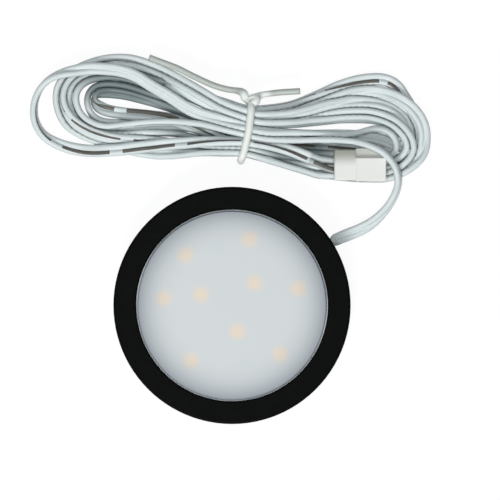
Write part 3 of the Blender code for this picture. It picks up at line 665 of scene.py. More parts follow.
        (9.6, 40.8, 2.6, 714),
    ),
    "waist 11": (
        (6.1, 41.3, 3, 708), (3.0, 41.4, 3, 700), (0.0, 41.9, 2.9, 690), (-2.6, 42.6, 2.6, 678),
        (-8.2, 44.9, 2.5, 652), (-14.6, 47.2, 1.6, 638), (-21.0, 48.2, 1.02, 626), (-28.4, 49.0, 1.02, 623),
        (-31.9, 49.7, 1.02, 628),
    ),
    "left turn 6": (
        (-34.0, 50.6, 1.1, 645), (-35.2, 51.9, 1.4, 685), (-35.5, 53.2, 1.6, 715), (-34.8, 54.1, 1.6, 742),
        (-33.2, 54.5, 1.3, 768), (-31.2, 54.6, 1, 785), (-28.6, 54.4, 0.95, 790), (-26.1, 54.0, 0.95, 790),
    ),
    "waist 12": (
        (-21.0, 52.7, 1, 790), (-17.9, 51.6, 1.4, 790), (-14.6, 50.2, 2, 790), (-11.5, 48.6, 2.4, 790),
        (-8.7, 46.9, 2.5, 788), (-5.6, 45.2, 2.5, 780), (-2.6, 43.8, 2.7, 765), (0.0, 43.2, 2.9, 745),
        (3.0, 42.9, 3, 722),
    ),
    "waist 12, low": (
        (6.1, 42.7, 3, 702), (9.1, 42.1, 2.5, 680), (12.2, 41.2, 1.9, 662), (14.7, 40.7, 1.5, 652),
        (18.1, 40.3, 1.1, 647), (21.9, 40.2, 0.95, 645), (26.2, 40.1, 0.9, 645), (29.6, 39.8, 0.9, 645),
        (32.1, 39.5, 0.9, 645), (34.4, 39.3, 0.9, 646), (36.4, 39.0, 1, 648), (38.2, 38.4, 1.4, 656),
        (39.8, 37.7, 2.2, 680),
    ),
    "right turn 6": (
        (41.0, 37.6, 3, 705), (41.9, 38.7, 3.3, 718), (42.2, 40.3, 3.3, 734), (41.9, 41.9, 3.3, 738),
        (41.1, 43.3, 3.2, 742), (39.6, 44.2, 3, 742), (37.7, 44.7, 2.8, 740),
    ),
    "right turn 6, return": (
        (35.4, 44.5, 2.8, 734), (32.1, 43.6, 3, 728), (28.7, 43.0, 3.5, 724), (24.9, 43.0, 4.2, 724),
        (19.8, 43.5, 4.9, 730), (14.7, 43.9, 5.4, 740), (9.6, 44.1, 5.8, 755),
    ),
    "waist 13": (
        (6.1, 44.7, 6, 765), (3.0, 45.5, 6, 780), (-2.6, 46.8, 5.6, 815), (-8.2, 48.4, 5, 835),
        (-11.4, 49.9, 4.9, 840), (-15.8, 52.8, 4.9, 842), (-20.9, 55.9, 4.6, 842), (-24.7, 58.3, 4.6, 838),
        (-28.2, 59.5, 4.5, 828), (-32.1, 60.0, 4.3, 818), (-36.2, 60.1, 4.2, 806),
    ),
    "left turn 7": (
        (-39.4, 59.6, 4.2, 785), (-42.5, 59.0, 3.9, 750), (-45.8, 57.8, 3, 728), (-48.0, 56.1, 2.2, 720),
        (-49.5, 53.9, 1.7, 714), (-50.3, 51.5, 1.6, 709), (-50.5, 49.3, 1.6, 706), (-50.2, 47.0, 1.6, 703),
        (-49.3, 45.0, 1.5, 697), (-47.7, 43.1, 1.4, 688), (-45.6, 41.8, 1.2, 675), (-43.2, 40.8, 1.05, 662),
        (-40.5, 40.1, 0.9, 650), (-37.8, 39.7, 0.9, 643), (-35.5, 39.6, 1.7, 642), (-33.2, 39.6, 2.7, 642),
        (-30.6, 39.7, 3.3, 643), (-27.3, 39.9, 3.5, 643),
    ),
    "waist 14": (
        (-24.2, 40.3, 3.5, 642), (-20.9, 40.6, 3.4, 642), (-17.6, 40.9, 3.5, 642), (-14.5, 41.1, 3.8, 643),
        (-11.2, 41.2, 4.4, 644), (-8.2, 41.4, 4.9, 645), (-2.6, 41.5, 5.7, 646), (3.0, 41.4, 6.1, 646),
        (6.1, 41.1, 6.1, 646), (9.6, 40.6, 6, 646), (12.7, 39.9, 5.8, 645), (15.2, 39.2, 5.7, 644),
        (17.8, 38.2, 5.6, 643), (20.0, 37.3, 5.6, 642),
    ),
}


@dataclass(frozen=True)
class LeadSize:
    """The flat two-core lead, and the dashed stripe that marks one of its cores.

    Attributes:
        core: The diameter of each core.
        web: The thickness of the web between the cores.
        step: The length of a settled section of the line.
        fine: The length of a span of the mesh.
        core_play: How much thinner a bare core's radius is.
        core_tuck: How far a bare core reaches into the connector.
        core_overlap: How far a bare core reaches back into the lead.
        core_straight: How far a bare core runs straight before the connector.
        core_bend_share: How far it runs straight from the lead, as a share of the way.
        exit_angle: Where the lead leaves the ring, in degrees round the lamp.
        dash: The length of the stripe's dashes, and gap that of its gaps.
        first_gap: The shift of the dashes at the connector's end.
        drift: Distances from that end, each with a further shift of the dashes there.
        stripe_side: The stripe's edges across the lead; stripe_flank is its edge square to that.
        stripe_turn: The stripe's edges round a bare core, in radians.
    """

    core: float = 1.6
    web: float = 0.72
    step: float = 1.6
    fine: float = 0.8
    lobe_points: int = 15
    core_points: int = 14
    core_play: float = 0.01
    core_tuck: float = 0.3
    core_overlap: float = 0.6
    core_straight: float = 0.5
    core_bend_share: float = 1 / 3
    soften_rounds: int = 3
    soften_share: float = 0.3
    exit_angle: float = 32.3
    exit_radius: float = 30.0
    exit_height: float = 2.4
    dash: float = 14.0
    gap: float = 2.9
    first_gap: float = 3.0
    drift: tuple[Span, ...] = ((37.0, -1.3), (51.0, -1.1), (70.0, 0.0), (211.0, -2.8), (278.0, -5.2),
                               (466.0, 0.2), (1176.0, 0.2))
    stripe_side: Span = (0.12, 1.02)
    stripe_flank: float = -0.3
    stripe_turn: Span = (3.6, 5.4)


@dataclass(frozen=True)
class Settling:
    """How the cores of all turns are pushed apart until none lies in another.

    Attributes:
        rounds: The rounds of settling, each with a few pushes.
        search_every: The rounds between two searches for close points.
        search_reach: How far beyond touching a search looks.
        clearance: The gap that is kept between cores.
        own_sections: How many sections along the line count as the same turn.
        held_first: The sections that are held still at the lamp; held_last at the connector.
        plugged_last: The last sections, which may come up to the connector.
        crowd_share: How far the pushes on one point are shared out.
        fade: The share of the rounds in which the pull back to the plan dies away.
        pull: The pull back to the plan along each axis, as a share of the way.
        softening: How far each round evens out the shifts along the line.
    """

    rounds: int = 400
    pushes: int = 3
    search_every: int = 15
    search_reach: float = 1.5
    clearance: float = 0.04
    own_sections: int = 4
    held_first: int = 20
    held_last: int = 2
    plugged_last: int = 12
    crowd_share: float = 0.5
    fade: float = 0.7
    pull: tuple[float, float, float] = (0.05, 0.05, 0.025)
    softening: float = 0.45


@dataclass(frozen=True)
class Hollow:
    """An oval patch of the hank where the lower turns lie in shade."""

    x: float
    y: float
    half_x: float
    half_y: float
    weight: float


@dataclass(frozen=True)
class Shade:
    """Where the jacket is shaded: deep in a hollow, and in the crevice beside another turn.

    Attributes:
        hollows: The hollows of the hank.
        rise: How much higher a turn lies before it shades another.
        reach: How far to the side a turn shades.
        least_load: The load of higher turns where the shade starts; load_span more is full shade.
        hollow_edge: Where a hollow ends, as the square of a share of its half sizes.
        own_sections: How many sections along the line shade nothing of their own turn.
        crevice: How far from another turn the crevice's shade ends.
        crevice_power: How fast that shade falls off.
        crevice_search: How far away other turns are looked for; crevice_own sections are left out.
        core: The shade of the bare cores.
    """

    hollows: tuple[Hollow, ...] = (Hollow(-28.0, 54.8, 13.5, 4.9, 1.0), Hollow(17.0, 39.6, 10.0, 3.4, 0.9),
                                   Hollow(-12.0, 49.6, 8.0, 3.0, 0.95), Hollow(-8.2, 43.7, 11.5, 2.2, 0.7))
    rise: float = 0.6
    reach: float = 4.6
    least_load: float = 0.4
    load_span: float = 2.0
    hollow_edge: float = 1.35
    own_sections: int = 6
    soften_rounds: int = 6
    soften_share: float = 0.5
    crevice: float = 0.6
    crevice_power: float = 1.3
    crevice_search: float = 4.5
    crevice_own: int = 5
    core: float = 0.4


class Line:
    """Small helpers on lines of points."""

    SAMPLE = 0.15
    FEWEST = 4
    SHORTEST = 1e-6

    @staticmethod
    def tangents(points: np.ndarray) -> np.ndarray:
        """The unit direction of travel at each point."""
        t = np.gradient(points, axis=0)
        return t / np.linalg.norm(t, axis=1, keepdims=True)

    @staticmethod
    def squared(side: np.ndarray, t: np.ndarray) -> np.ndarray:
        """The unit directions nearest to the sides that are square to the directions of travel."""
        side = side - (side * t).sum(-1, keepdims=True) * t
        return side / np.linalg.norm(side, axis=-1, keepdims=True)

    @staticmethod
    def soften(rows: np.ndarray, rounds: int, share: float) -> None:
        """Draws every row but the ends towards the mean of its neighbours, in place."""
        for _ in range(rounds):
            rows[1:-1] += share * ((rows[:-2] + rows[2:]) / 2 - rows[1:-1])

    @staticmethod
    def spaced(rows: np.ndarray, step: float) -> np.ndarray:
        """Sets rows at an even step along their first three numbers.

        Args:
            rows: The rows; the first three numbers are the place.
            step: The step.

        Returns:
            The new rows.
        """
        along = np.r_[0, np.cumsum(np.linalg.norm(np.diff(rows[:, :3], axis=0), axis=1))]
        wanted = np.linspace(0, along[-1], int(round(along[-1] / step)) + 1)
        return np.stack([np.interp(wanted, along, rows[:, k]) for k in range(rows.shape[1])], axis=1)

    @staticmethod
    def between(t: np.ndarray, low: float, first: np.ndarray, high: float, second: np.ndarray) -> np.ndarray:
        """The rows at each t on the straight way that is first at low and second at high."""
        return (high - t) / (high - low) * first + (t - low) / (high - low) * second

    @staticmethod
    def curved(rows: np.ndarray, step: float) -> np.ndarray:
        """A centripetal Catmull-Rom curve through rows of numbers.

        Args:
            rows: The stations; the first three numbers are the place.
            step: The step of the result along the curve.

        Returns:
            Rows at an even step.
        """
        knots = np.vstack([2 * rows[0] - rows[1], rows, 2 * rows[-1] - rows[-2]])
        fine = []
        for a, b, c, d in zip(knots, knots[1:], knots[2:], knots[3:]):
            lengths = [np.linalg.norm((q - p)[:3]) for p, q in ((a, b), (b, c), (c, d))]
            t0, t1, t2, t3 = np.r_[0, np.cumsum([max(length, Line.SHORTEST) ** 0.5 for length in lengths])]
            count = max(Line.FEWEST, int(lengths[1] / Line.SAMPLE))
            t = np.linspace(t1, t2, count, endpoint=False)[:, None]
            inner = Line.between(t, t1, b, t2, c)
            before = Line.between(t, t0, Line.between(t, t0, a, t1, b), t2, inner)
            after = Line.between(t, t1, inner, t3, Line.between(t, t2, c, t3, d))
            fine.append(Line.between(t, t1, before, t2, after))
        return Line.spaced(np.vstack(fine + [rows[-1:]]), step)

    @staticmethod
    def rolled(points: np.ndarray, roll: np.ndarray) -> np.ndarray:
        """The direction of the marked core across a line.

        Args:
            points: The line.
            roll: Degrees from straight up, towards the left of travel.

        Returns:
            Unit vectors.
        """
        t = Line.tangents(points)
        left = np.stack([-t[:, 1], t[:, 0], np.zeros(len(t))], axis=1)
        left /= np.linalg.norm(left, axis=1, keepdims=True)
        angle = np.radians(roll)[:, None]
        return np.cos(angle) * np.cross(t, left) + np.sin(angle) * left


class Sweep:
    """A mesh of tubes that close ring by ring, with numbers stored at its points."""

    def __init__(self, *stored: str) -> None:
        """Starts an empty mesh whose points store the named numbers."""
        self.shape = bmesh.new()
        self.layers = [self.shape.verts.layers.float.new(name) for name in stored]

    @staticmethod
    def circles(line: np.ndarray, across: np.ndarray, radius: np.ndarray, angles: np.ndarray) -> np.ndarray:
        """Circles along a line.

        Args:
            line: The middles.
            across: The direction of angle 0 at each middle.
            radius: The radius at each middle.
            angles: The angles of the points on each circle.

        Returns:
            The points, by circle and by place on it.
        """
        up = np.cross(Line.tangents(line), across)
        turn = angles[None, :, None]
        spokes = np.cos(turn) * across[:, None] + np.sin(turn) * up[:, None]
        return line[:, None] + radius[:, None, None] * spokes

    def tube(self, rings: np.ndarray, stored: Sequence[Any], striped: np.ndarray | None = None) -> None:
        """Adds a tube.

        Args:
            rings: Its points in millimetres, by ring and by place on the ring.
            stored: The numbers that its points store, each by ring and by place, or one for all.
            striped: Which faces take the second material, by span and by place.
        """
        made = [[self.shape.verts.new(place) for place in ring] for ring in rings * MM]
        for layer, values in zip(self.layers, stored):
            for ring, row in zip(made, np.broadcast_to(values, rings.shape[:2])):
                for vert, value in zip(ring, row):
                    vert[layer] = value
        count = rings.shape[1]
        for k, (first, second) in enumerate(zip(made, made[1:])):
            for m in range(count):
                after = (m + 1) % count
                face = self.shape.faces.new((first[m], first[after], second[after], second[m]))
                face.material_index = int(striped is not None and striped[k, m])
        self.shape.faces.new(made[0][::-1])
        self.shape.faces.new(made[-1])

    def finish(self, name: str, materials: Iterable[bpy.types.Material]) -> bpy.types.Object:
        """Makes a smooth-shaded piece that rides on the lamp.

        Args:
            name: The piece's name.
            materials: Its materials, in slot order.

        Returns:
            The piece.
        """
        bmesh.ops.recalc_face_normals(self.shape, faces=self.shape.faces)
        mesh = bpy.data.meshes.new(name)
        self.shape.to_mesh(mesh)
        self.shape.free()
        mesh.shade_smooth()
        for material in materials:
            mesh.materials.append(material)
        piece = bpy.data.objects.new(name, mesh)
        bpy.context.scene.collection.objects.link(piece)
        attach(piece, "root")
        log.info("made %s with %d faces", name, len(mesh.polygons))
        return piece


class Winding:
    """The lead's whole line: planned by stations, then settled so that no turn lies in another."""

    def __init__(self, size: LeadSize, rules: Settling, shade: Shade,
                 connector: Sequence[np.ndarray]) -> None:
        """Plans and settles the line.

        Args:
            size: The lead's sizes.
            rules: How the turns settle.
            shade: Where the jacket is shaded.
            connector: The lowest and highest corners of the connector, in millimetres.
        """
        self.size = size
        self.rules = rules
        self.shade = shade
        self.connector = connector
        self.radius = size.core / 2
        rows = np.array([row for stations in ROUTE.values() for row in stations], float)
        self.plan = Line.curved(rows, size.step)
        self.section = np.tile(np.arange(len(self.plan)), 2)
        self.middle, self.half = self._settle()
        self.cores = np.concatenate([self.middle + self.half, self.middle - self.half])
        self.painted_shade_share = self._depth()
        log.info("settled %d sections of the lead", len(self.plan))

    def _close_pairs(self, place: np.ndarray) -> tuple[np.ndarray, np.ndarray]:
        """Finds the points of different turns that may come to touch.

        Args:
            place: The points of both cores.

        Returns:
            The first and the second point of each pair.
        """
        reach = self.size.core + self.rules.clearance + self.rules.search_reach
        apart = ((place[:, None, :] - place[None, :, :]) ** 2).sum(-1)
        i, j = np.nonzero(np.triu(apart < reach ** 2, 1))
        other = np.abs(self.section[i] - self.section[j]) > self.rules.own_sections
        return i[other], j[other]

    def _paired(self, place: np.ndarray) -> np.ndarray:
        """Sets the two cores of every section side by side again, square to the line.

        Args:
            place: The points of both cores.

        Returns:
            The mended points.
        """
        first, second = np.split(place, 2)
        middle, half = (first + second) / 2, (first - second) / 2
        t = Line.tangents(middle)
        half -= (half * t).sum(1, keepdims=True) * t
        half *= self.radius / np.linalg.norm(half, axis=1, keepdims=True)
        return np.concatenate([middle + half, middle - half])

    def _push(self, place: np.ndarray, i: np.ndarray, j: np.ndarray) -> None:
        """Pushes the points of each pair apart, in place, where they are too close.

        Args:
            place: The points of both cores.
            i: The first point of each pair.
            j: The second point of each pair.
        """
        gap = self.size.core + self.rules.clearance
        between = place[i] - place[j]
        length = np.linalg.norm(between, axis=1)
        hit = length < gap
        part = between[hit] / np.maximum(length[hit], Line.SHORTEST)[:, None]
        part *= ((gap - length[hit]) / 2)[:, None]
        push = np.zeros_like(place)
        hits = np.zeros(len(place))
        for ends, way in ((i[hit], part), (j[hit], -part)):
            np.add.at(push, ends, way)
            np.add.at(hits, ends, 1)
        place += push / np.maximum(1.0, self.rules.crowd_share * hits)[:, None]

    def _clear(self, place: np.ndarray) -> None:
        """Keeps the points above the floor and below the connector, in place.

        Args:
            place: The points of both cores.
        """
        low, high = self.connector
        under = ((place[:, :2] > low[:2] - self.radius) & (place[:, :2] < high[:2] + self.radius)).all(1)
        under &= (place[:, 2] > low[2] - self.radius) & (place[:, 2] < low[2] + self.size.core)
        under &= self.section < len(self.plan) - self.rules.plugged_last
        place[under, 2] = low[2] - self.radius
        place[:, 2] = np.maximum(place[:, 2], self.radius)

    def _settle(self) -> tuple[np.ndarray, np.ndarray]:
        """Lets the planned line settle.

        Returns:
            The middle of each section, and the way from it to the marked core.
        """
        rules, count, centre = self.rules, len(self.plan), self.plan[:, :3]
        side = Line.rolled(centre, self.plan[:, 3]) * self.radius
        start = np.concatenate([centre + side, centre - side])
        place = start.copy()
        held = (self.section < rules.held_first) | (self.section >= count - rules.held_last)
        for k in range(rules.rounds):
            if k % rules.search_every == 0:
                i, j = self._close_pairs(place)
            fade = max(0.0, 1 - k / (rules.rounds * rules.fade))
            shift = place + (start - place) * np.array(rules.pull) * fade - start
            Line.soften(shift[:count], 1, rules.softening)
            Line.soften(shift[count:], 1, rules.softening)
            place = self._paired(start + shift)
            for _ in range(rules.pushes):
                self._push(place, i, j)
                self._clear(place)
            place[held] = start[held]
        return (place[:count] + place[count:]) / 2, (place[:count] - place[count:]) / 2

    def _depth(self) -> np.ndarray:
        """Works out how deep each section lies in the hollows between higher turns, as its share of painted
        shade.

        Returns:
            Numbers from 0 to 1.
        """
        shade, middle = self.shade, self.middle
        section = np.arange(len(middle))
        apart = np.linalg.norm(middle[:, None, :2] - middle[None, :, :2], axis=2)
        above = np.maximum(middle[None, :, 2] - middle[:, None, 2] - shade.rise, 0.0)
        above[np.abs(section[:, None] - section[None, :]) < shade.own_sections] = 0.0
        load = (np.exp(-((apart / shade.reach) ** 2)) * above).sum(1)
        share = np.clip((load - shade.least_load) / shade.load_span, 0.0, 1.0)
        inside = np.zeros(len(share))
        for patch in shade.hollows:
            x, y = (middle[:, 0] - patch.x) / patch.half_x, (middle[:, 1] - patch.y) / patch.half_y
            within = np.clip(shade.hollow_edge - (x ** 2 + y ** 2), 0.0, 1.0)
            inside = np.maximum(inside, patch.weight * within)
        share *= inside
        Line.soften(share, shade.soften_rounds, shade.soften_share)
        return share * share * (3 - 2 * share)

    def nearness(self, rings: np.ndarray) -> np.ndarray:
        """Works out how near the jacket's points are to another turn, for the painted shade in the crevice
        there.

        Args:
            rings: The jacket's points in millimetres, by ring and by place.

        Returns:
            For each point a number from 0 to 1, in the same order.
        """
        near = np.zeros(rings.shape[:2])
        for k, points in enumerate(rings):
            own = k * self.size.fine / self.size.step
            around = np.linalg.norm(self.cores - points.mean(0), axis=1) < self.shade.crevice_search
            others = self.cores[around & (np.abs(self.section - own) > self.shade.crevice_own)]
            if len(others):
                away = np.linalg.norm(points[:, None] - others[None], axis=2).min(1) - self.radius
                near[k] = np.clip(1.0 - away / self.shade.crevice, 0.0, 1.0)
        return near ** self.shade.crevice_power


class FlatLead:
    """The flat lead from the lamp through the hank to the connector."""

    def __init__(self, size: LeadSize, winding: Winding, ends: Sequence[np.ndarray]) -> None:
        """Keeps the line.

        Args:
            size: The lead's sizes.
            winding: The settled line.
            ends: Where the marked and the plain core meet the connector, in millimetres.
        """
        self.size = size
        self.winding = winding
        self.ends = ends

    def _section(self) -> tuple[np.ndarray, np.ndarray]:
        """Draws the twin-lobed outline.

        Returns:
            Its points across and square to the lead's width, and which of its faces carry the stripe.
        """
        r = self.size.core / 2
        root = math.asin(self.size.web / 2 / r)
        sweep = np.linspace(root, 2 * math.pi - root, self.size.lobe_points)
        marked = np.stack([r - r * np.cos(sweep), -r * np.sin(sweep)], axis=1)
        outline = np.vstack([marked, -marked])
        across, flank = ((outline + np.roll(outline, -1, axis=0)) / 2).T
        low, high = self.size.stripe_side
        return outline, (across > low) & (across < high) & (flank < self.size.stripe_flank)

    def _dashed(self, spans: int, length: float) -> np.ndarray:
        """Where the stripe's dashes lie.

        Args:
            spans: The number of spans of a tube.
            length: How far before the end of the flat lead it starts.

        Returns:
            Whether each span carries the stripe, as a column.
        """
        from_end = length - (np.arange(spans)[:, None] + 0.5) * self.size.fine
        places, shifts = zip(*self.size.drift)
        at = from_end + (self.size.first_gap + np.interp(from_end, places, shifts))
        return at % (self.size.dash + self.size.gap) > self.size.gap

    def _sweep(self) -> Sweep:
        """Sweeps the outline along the line, and splits its end into the two bare cores.

        Returns:
            The swept mesh, with its stripe as the second material.
        """
        size, winding = self.size, self.winding
        rows = Line.curved(np.column_stack([winding.middle, winding.half, winding.painted_shade_share]), size.fine)
        Line.soften(rows, size.soften_rounds, size.soften_share)
        centre, painted_shade_share = rows[:, :3], rows[:, 6:]
        t = Line.tangents(centre)
        side = Line.squared(rows[:, 3:6], t)
        flank = np.cross(t, side)
        outline, stripe = self._section()
        rings = centre[:, None] + outline[:, :1] * side[:, None] + outline[:, 1:] * flank[:, None]
        along = np.arange(len(centre))[:, None] * size.fine
        around = np.arctan2(outline[:, 1], outline[:, 0])
        total = (len(centre) - 1) * size.fine
        # Painted shade: the stored shares darken the jacket in the hank's hollows and beside other turns.
        sweep = Sweep("along", "around", "painted_shade_share", "near")
        sweep.tube(rings, (along * MM, around, painted_shade_share, winding.nearness(rings)),
                   self._dashed(len(centre) - 1, total) & stripe)
        for sign, end in zip((1, -1), self.ends):
            begin = centre[-1] + sign * side[-1] * size.core / 2
            self._add_core(sweep, self._core_line(begin, t[-1], end), side[-1], total, sign > 0)
        self.centreline = np.vstack([centre, [(self.ends[0] + self.ends[1]) / 2]])
        return sweep

    def _core_line(self, begin: np.ndarray, heading: np.ndarray, end: np.ndarray) -> np.ndarray:
        """Draws one bare core, straight where it leaves the lead and where it enters the connector.

        Args:
            begin: Where it leaves the lead.
            heading: The lead's direction there.
            end: Where it meets the connector.

        Returns:
            The core's line.
        """
        reach = np.linalg.norm(end - begin) * self.size.core_bend_share
        straight = np.array([self.size.core_straight, 0.0, 0.0])
        return Line.curved(np.array([begin - heading * self.size.core_overlap, begin, begin + heading * reach,
                                     end - straight, end]), self.size.fine)

    def _add_core(self, sweep: Sweep, line: np.ndarray, side: np.ndarray, start: float, marked: bool) -> None:
        """Adds one bare core as a tube.

        Args:
            sweep: The mesh that takes it.
            line: The core's line.
            side: The direction of the marked core at the split.
            start: How far along the lead it starts.
            marked: Whether it carries the stripe.
        """
        count = self.size.core_points
        angles = 2 * math.pi * np.arange(count) / count
        radius = np.full(len(line), self.size.core / 2 - self.size.core_play)
        rings = Sweep.circles(line, Line.squared(side, Line.tangents(line)), radius, angles)
        along = start + np.arange(len(line))[:, None] * self.size.fine
        middles = angles + math.pi / count
        low, high = self.size.stripe_turn
        striped = self._dashed(len(line) - 1, 0.0) & (low < middles) & (middles < high) & marked
        # Painted shade: the bare cores take a fixed share of the hollow shade.
        sweep.tube(rings, (along * MM, angles, self.winding.shade.core, 0.0), striped)

    def build(self, jacket: bpy.types.Material, stripe: bpy.types.Material, extra: Sequence[Any]) -> None:
        """Args:
            jacket: The jacket's material.
            stripe: The marker stripe's material.
            extra: The pieces on the cord; not used.
        """
        lead = self._sweep().finish("flat_lead", (jacket, stripe))
        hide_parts("cable_lead", "cable_hank", "end_core_plain", "end_core_marked")


@dataclass(frozen=True)
class TieSize:
    """The coated wire tie round the hank's waist: a loop, a knot of two halves, and two tails."""

    tail: float = 0.8
    twist: float = 1.08
    loop: float = 0.96
    slack: float = 0.04
    floor_gap: float = 0.02
    lean_y: tuple[float, ...] = (36.5, 39.3, 41.9, 44.4, 49.5)
    lean_x: tuple[float, ...] = (2.1, 3.3, 3.9, 4.3, 4.85)
    slice_half: float = 1.3
    slice_from: float = 30.0
    slice_points: int = 72
    knot_reach: float = 0.35
    knot_height: float = 6.0
    sides: int = 14
    step: float = 0.5
    soften_rounds: int = 4
    soften_share: float = 0.4
    left_tail: Points = ((-21.1, 63.0, 4.4), (-18.3, 61.9, 4.5), (-15.8, 61.0, 4.6), (-13.2, 59.9, 4.8),
                         (-10.7, 58.6, 4.9), (-8.2, 57.4, 5.1), (-5.6, 56.2, 5.2), (-3.1, 55.3, 5.3),
                         (-0.5, 54.7, 5.5), (1.2, 54.5, 5.8))
    left_knot: Points = ((2.5, 54.1, 6.5), (3.4, 53.4, 7.0), (3.0, 52.8, 6.4), (3.4, 52.6, 5.4),
                         (4.4, 51.9, 4.6))
    right_knot: Points = ((5.2, 51.4, 7.4), (6.3, 51.7, 7.4), (6.4, 52.4, 7.0), (5.2, 52.7, 6.6),
                          (5.0, 52.3, 5.6), (6.3, 52.9, 5.2))
    right_tail: Points = ((7.6, 53.5, 4.9), (9.8, 53.8, 4.8), (12.2, 54.1, 4.8), (14.8, 54.25, 4.9),
                          (17.3, 54.4, 5.0))


class TwistTie:
    """The tie, drawn round the turns that it holds."""

    def __init__(self, size: TieSize, winding: Winding) -> None:
        """Keeps the tie's sizes and the settled line of the lead."""
        self.size = size
        self.winding = winding

    @staticmethod
    def _hull(points: np.ndarray) -> np.ndarray:
        """One side of the hull round flat points.

        Args:
            points: The points, sorted.

        Returns:
            The points of the hull on the right of the way from the first point to the last.
        """
        hull: list[np.ndarray] = []
        for p in points:
            while len(hull) > 1:
                a, b = hull[-2:]
                if (b[0] - a[0]) * (p[1] - a[1]) - (b[1] - a[1]) * (p[0] - a[0]) > 0:
                    break
                hull.pop()
            hull.append(p)
        return np.array(hull)

    def _loop(self) -> np.ndarray:
        """Draws the loop round the waist.

        Returns:
            Its points from the foot over the top to the knot and back below, open at the knot.
        """
        size, cores = self.size, self.winding.cores
        off = np.abs(cores[:, 0] - np.interp(cores[:, 1], size.lean_y, size.lean_x))
        near = cores[(off < size.slice_half) & (cores[:, 1] > size.slice_from)]
        reach = self.winding.radius + size.loop + size.slack
        angles = np.linspace(0, 2 * math.pi, size.slice_points + 1)[:-1]
        ring = np.stack([np.cos(angles), np.sin(angles)], axis=1) * reach
        cloud = (near[:, None, 1:3] + ring[None]).reshape(-1, 2)
        cloud[:, 1] = np.maximum(cloud[:, 1], size.loop + size.floor_gap)
        order = cloud[np.lexsort((cloud[:, 1], cloud[:, 0]))]
        below, above = self._hull(order), self._hull(order[::-1])
        loop = np.vstack([above, below[1:-1]])
        kept = loop[(loop[:, 0] < below[-1][0] - size.knot_reach) | (loop[:, 1] > size.knot_height)]
        return np.column_stack([np.interp(kept[:, 0], size.lean_y, size.lean_x), kept])

    def build(self, sleeve: bpy.types.Material) -> bpy.types.Object:
        """Makes the tie's piece.

        Args:
            sleeve: The sleeve's material.

        Returns:
            The piece.
        """
        size = self.size
        parts = ((size.left_tail, size.tail), (size.left_knot, size.twist), (self._loop()[::-1], size.loop),
                 (size.right_knot, size.twist), (size.right_tail, size.tail))
        rows = [np.column_stack([points, np.full(len(points), radius)]) for points, radius in parts]
        rows = Line.curved(np.vstack(rows), size.step)
        Line.soften(rows, size.soften_rounds, size.soften_share)
        line = rows[:, :3]
        carried = [np.cross(Line.tangents(line)[0], (0.0, 0.0, 1.0))]
        for heading in Line.tangents(line):
            carried.append(Line.squared(carried[-1], heading))
        angles = 2 * math.pi * np.arange(size.sides) / size.sides
        sweep = Sweep("along")
        sweep.tube(Sweep.circles(line, np.array(carried[1:]), rows[:, 3], angles),
                   (np.arange(len(line))[:, None] / len(line),))
        tie = sweep.finish("wire_tie", (sleeve,))
        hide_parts("twist_tie")
        return tie


@dataclass(frozen=True)
class SoftLight:
    """A round soft light, with its place and size in metres."""

    name: str
    place: tuple[float, float, float]
    size: float
    watts: float
    colour: Colour


@dataclass(frozen=True)
class StudioSize:
    """The camera straight above, the floor and the lights."""

    distance: float = 1000.0
    centre: Span = (4.547, 14.011)
    span: float = 126.316
    span_distance: float = 989.0
    sensor: float = 36.0
    clip: Span = (10.0, 10000.0)
    floor_side: float = 1600.0
    floor_drop: float = 0.2
    aim: tuple[float, float, float] = (0.0, 0.02, 0.0)
    sky: Colour = (0.92, 0.96, 1.0)
    sky_strength: float = 0.16
    lights: tuple[SoftLight, ...] = (
        SoftLight("key", (-0.11, -0.58, 0.78), 0.34, 5.43, (1.0, 0.995, 0.985)),
        SoftLight("top", (-0.05, 0.05, 0.95), 0.4, 3.17, (0.97, 0.985, 1.0)),
        SoftLight("fill", (-0.6, 0.25, 0.45), 0.5, 0.19, (0.95, 0.975, 1.0)),
    )


class Studio:
    """The floor, the lights and the camera."""

    def __init__(self, size: StudioSize) -> None:
        """Keeps the studio's sizes."""
        self.size = size

    def floor(self, finish: FloorFinish) -> None:
        """Adds the floor.

        Args:
            finish: Its finish.
        """
        place = (0.0, 0.0, -self.size.floor_drop * MM)
        bpy.ops.mesh.primitive_plane_add(size=self.size.floor_side * MM, location=place)
        floor = bpy.context.object
        floor.name = "floor"
        floor.data.materials.append(finish.build())

    def _add_light(self, light: SoftLight) -> None:
        """Adds one soft light.

        Args:
            light: What it is.
        """
        data = bpy.data.lights.new(light.name, "AREA")
        data.shape = "DISK"
        data.size = light.size
        data.energy = light.watts
        data.color = light.colour
        lamp = bpy.data.objects.new(light.name, data)
        lamp.location = light.place
        way = Vector(self.size.aim) - Vector(light.place)
        lamp.rotation_euler = way.to_track_quat("-Z", "Y").to_euler()
        bpy.context.scene.collection.objects.link(lamp)

    def lights(self) -> None:
        """Adds the soft lights, and pale surroundings that are seen as white."""
        world = bpy.data.worlds.new("studio")
        bpy.context.scene.world = world
        sky = Graph(world)
        sky.set(Color=self.size.sky, Strength=self.size.sky_strength)
        sky.show_white("ShaderNodeBackground", 1.0, 1.0)
        for light in self.size.lights:
            self._add_light(light)

    def camera(self) -> None:
        """Adds the camera at the photograph's angle, straight above."""
        data = bpy.data.cameras.new("camera")
        data.sensor_width = self.size.sensor
        data.lens = self.size.sensor * self.size.span_distance / self.size.span
        data.clip_start, data.clip_end = (reach * MM for reach in self.size.clip)
        camera = bpy.data.objects.new("camera", data)
        camera.location = Vector((*self.size.centre, self.size.distance)) * MM
        bpy.context.scene.collection.objects.link(camera)
        bpy.context.scene.camera = camera
        bpy.context.scene.view_settings.view_transform = "Standard"


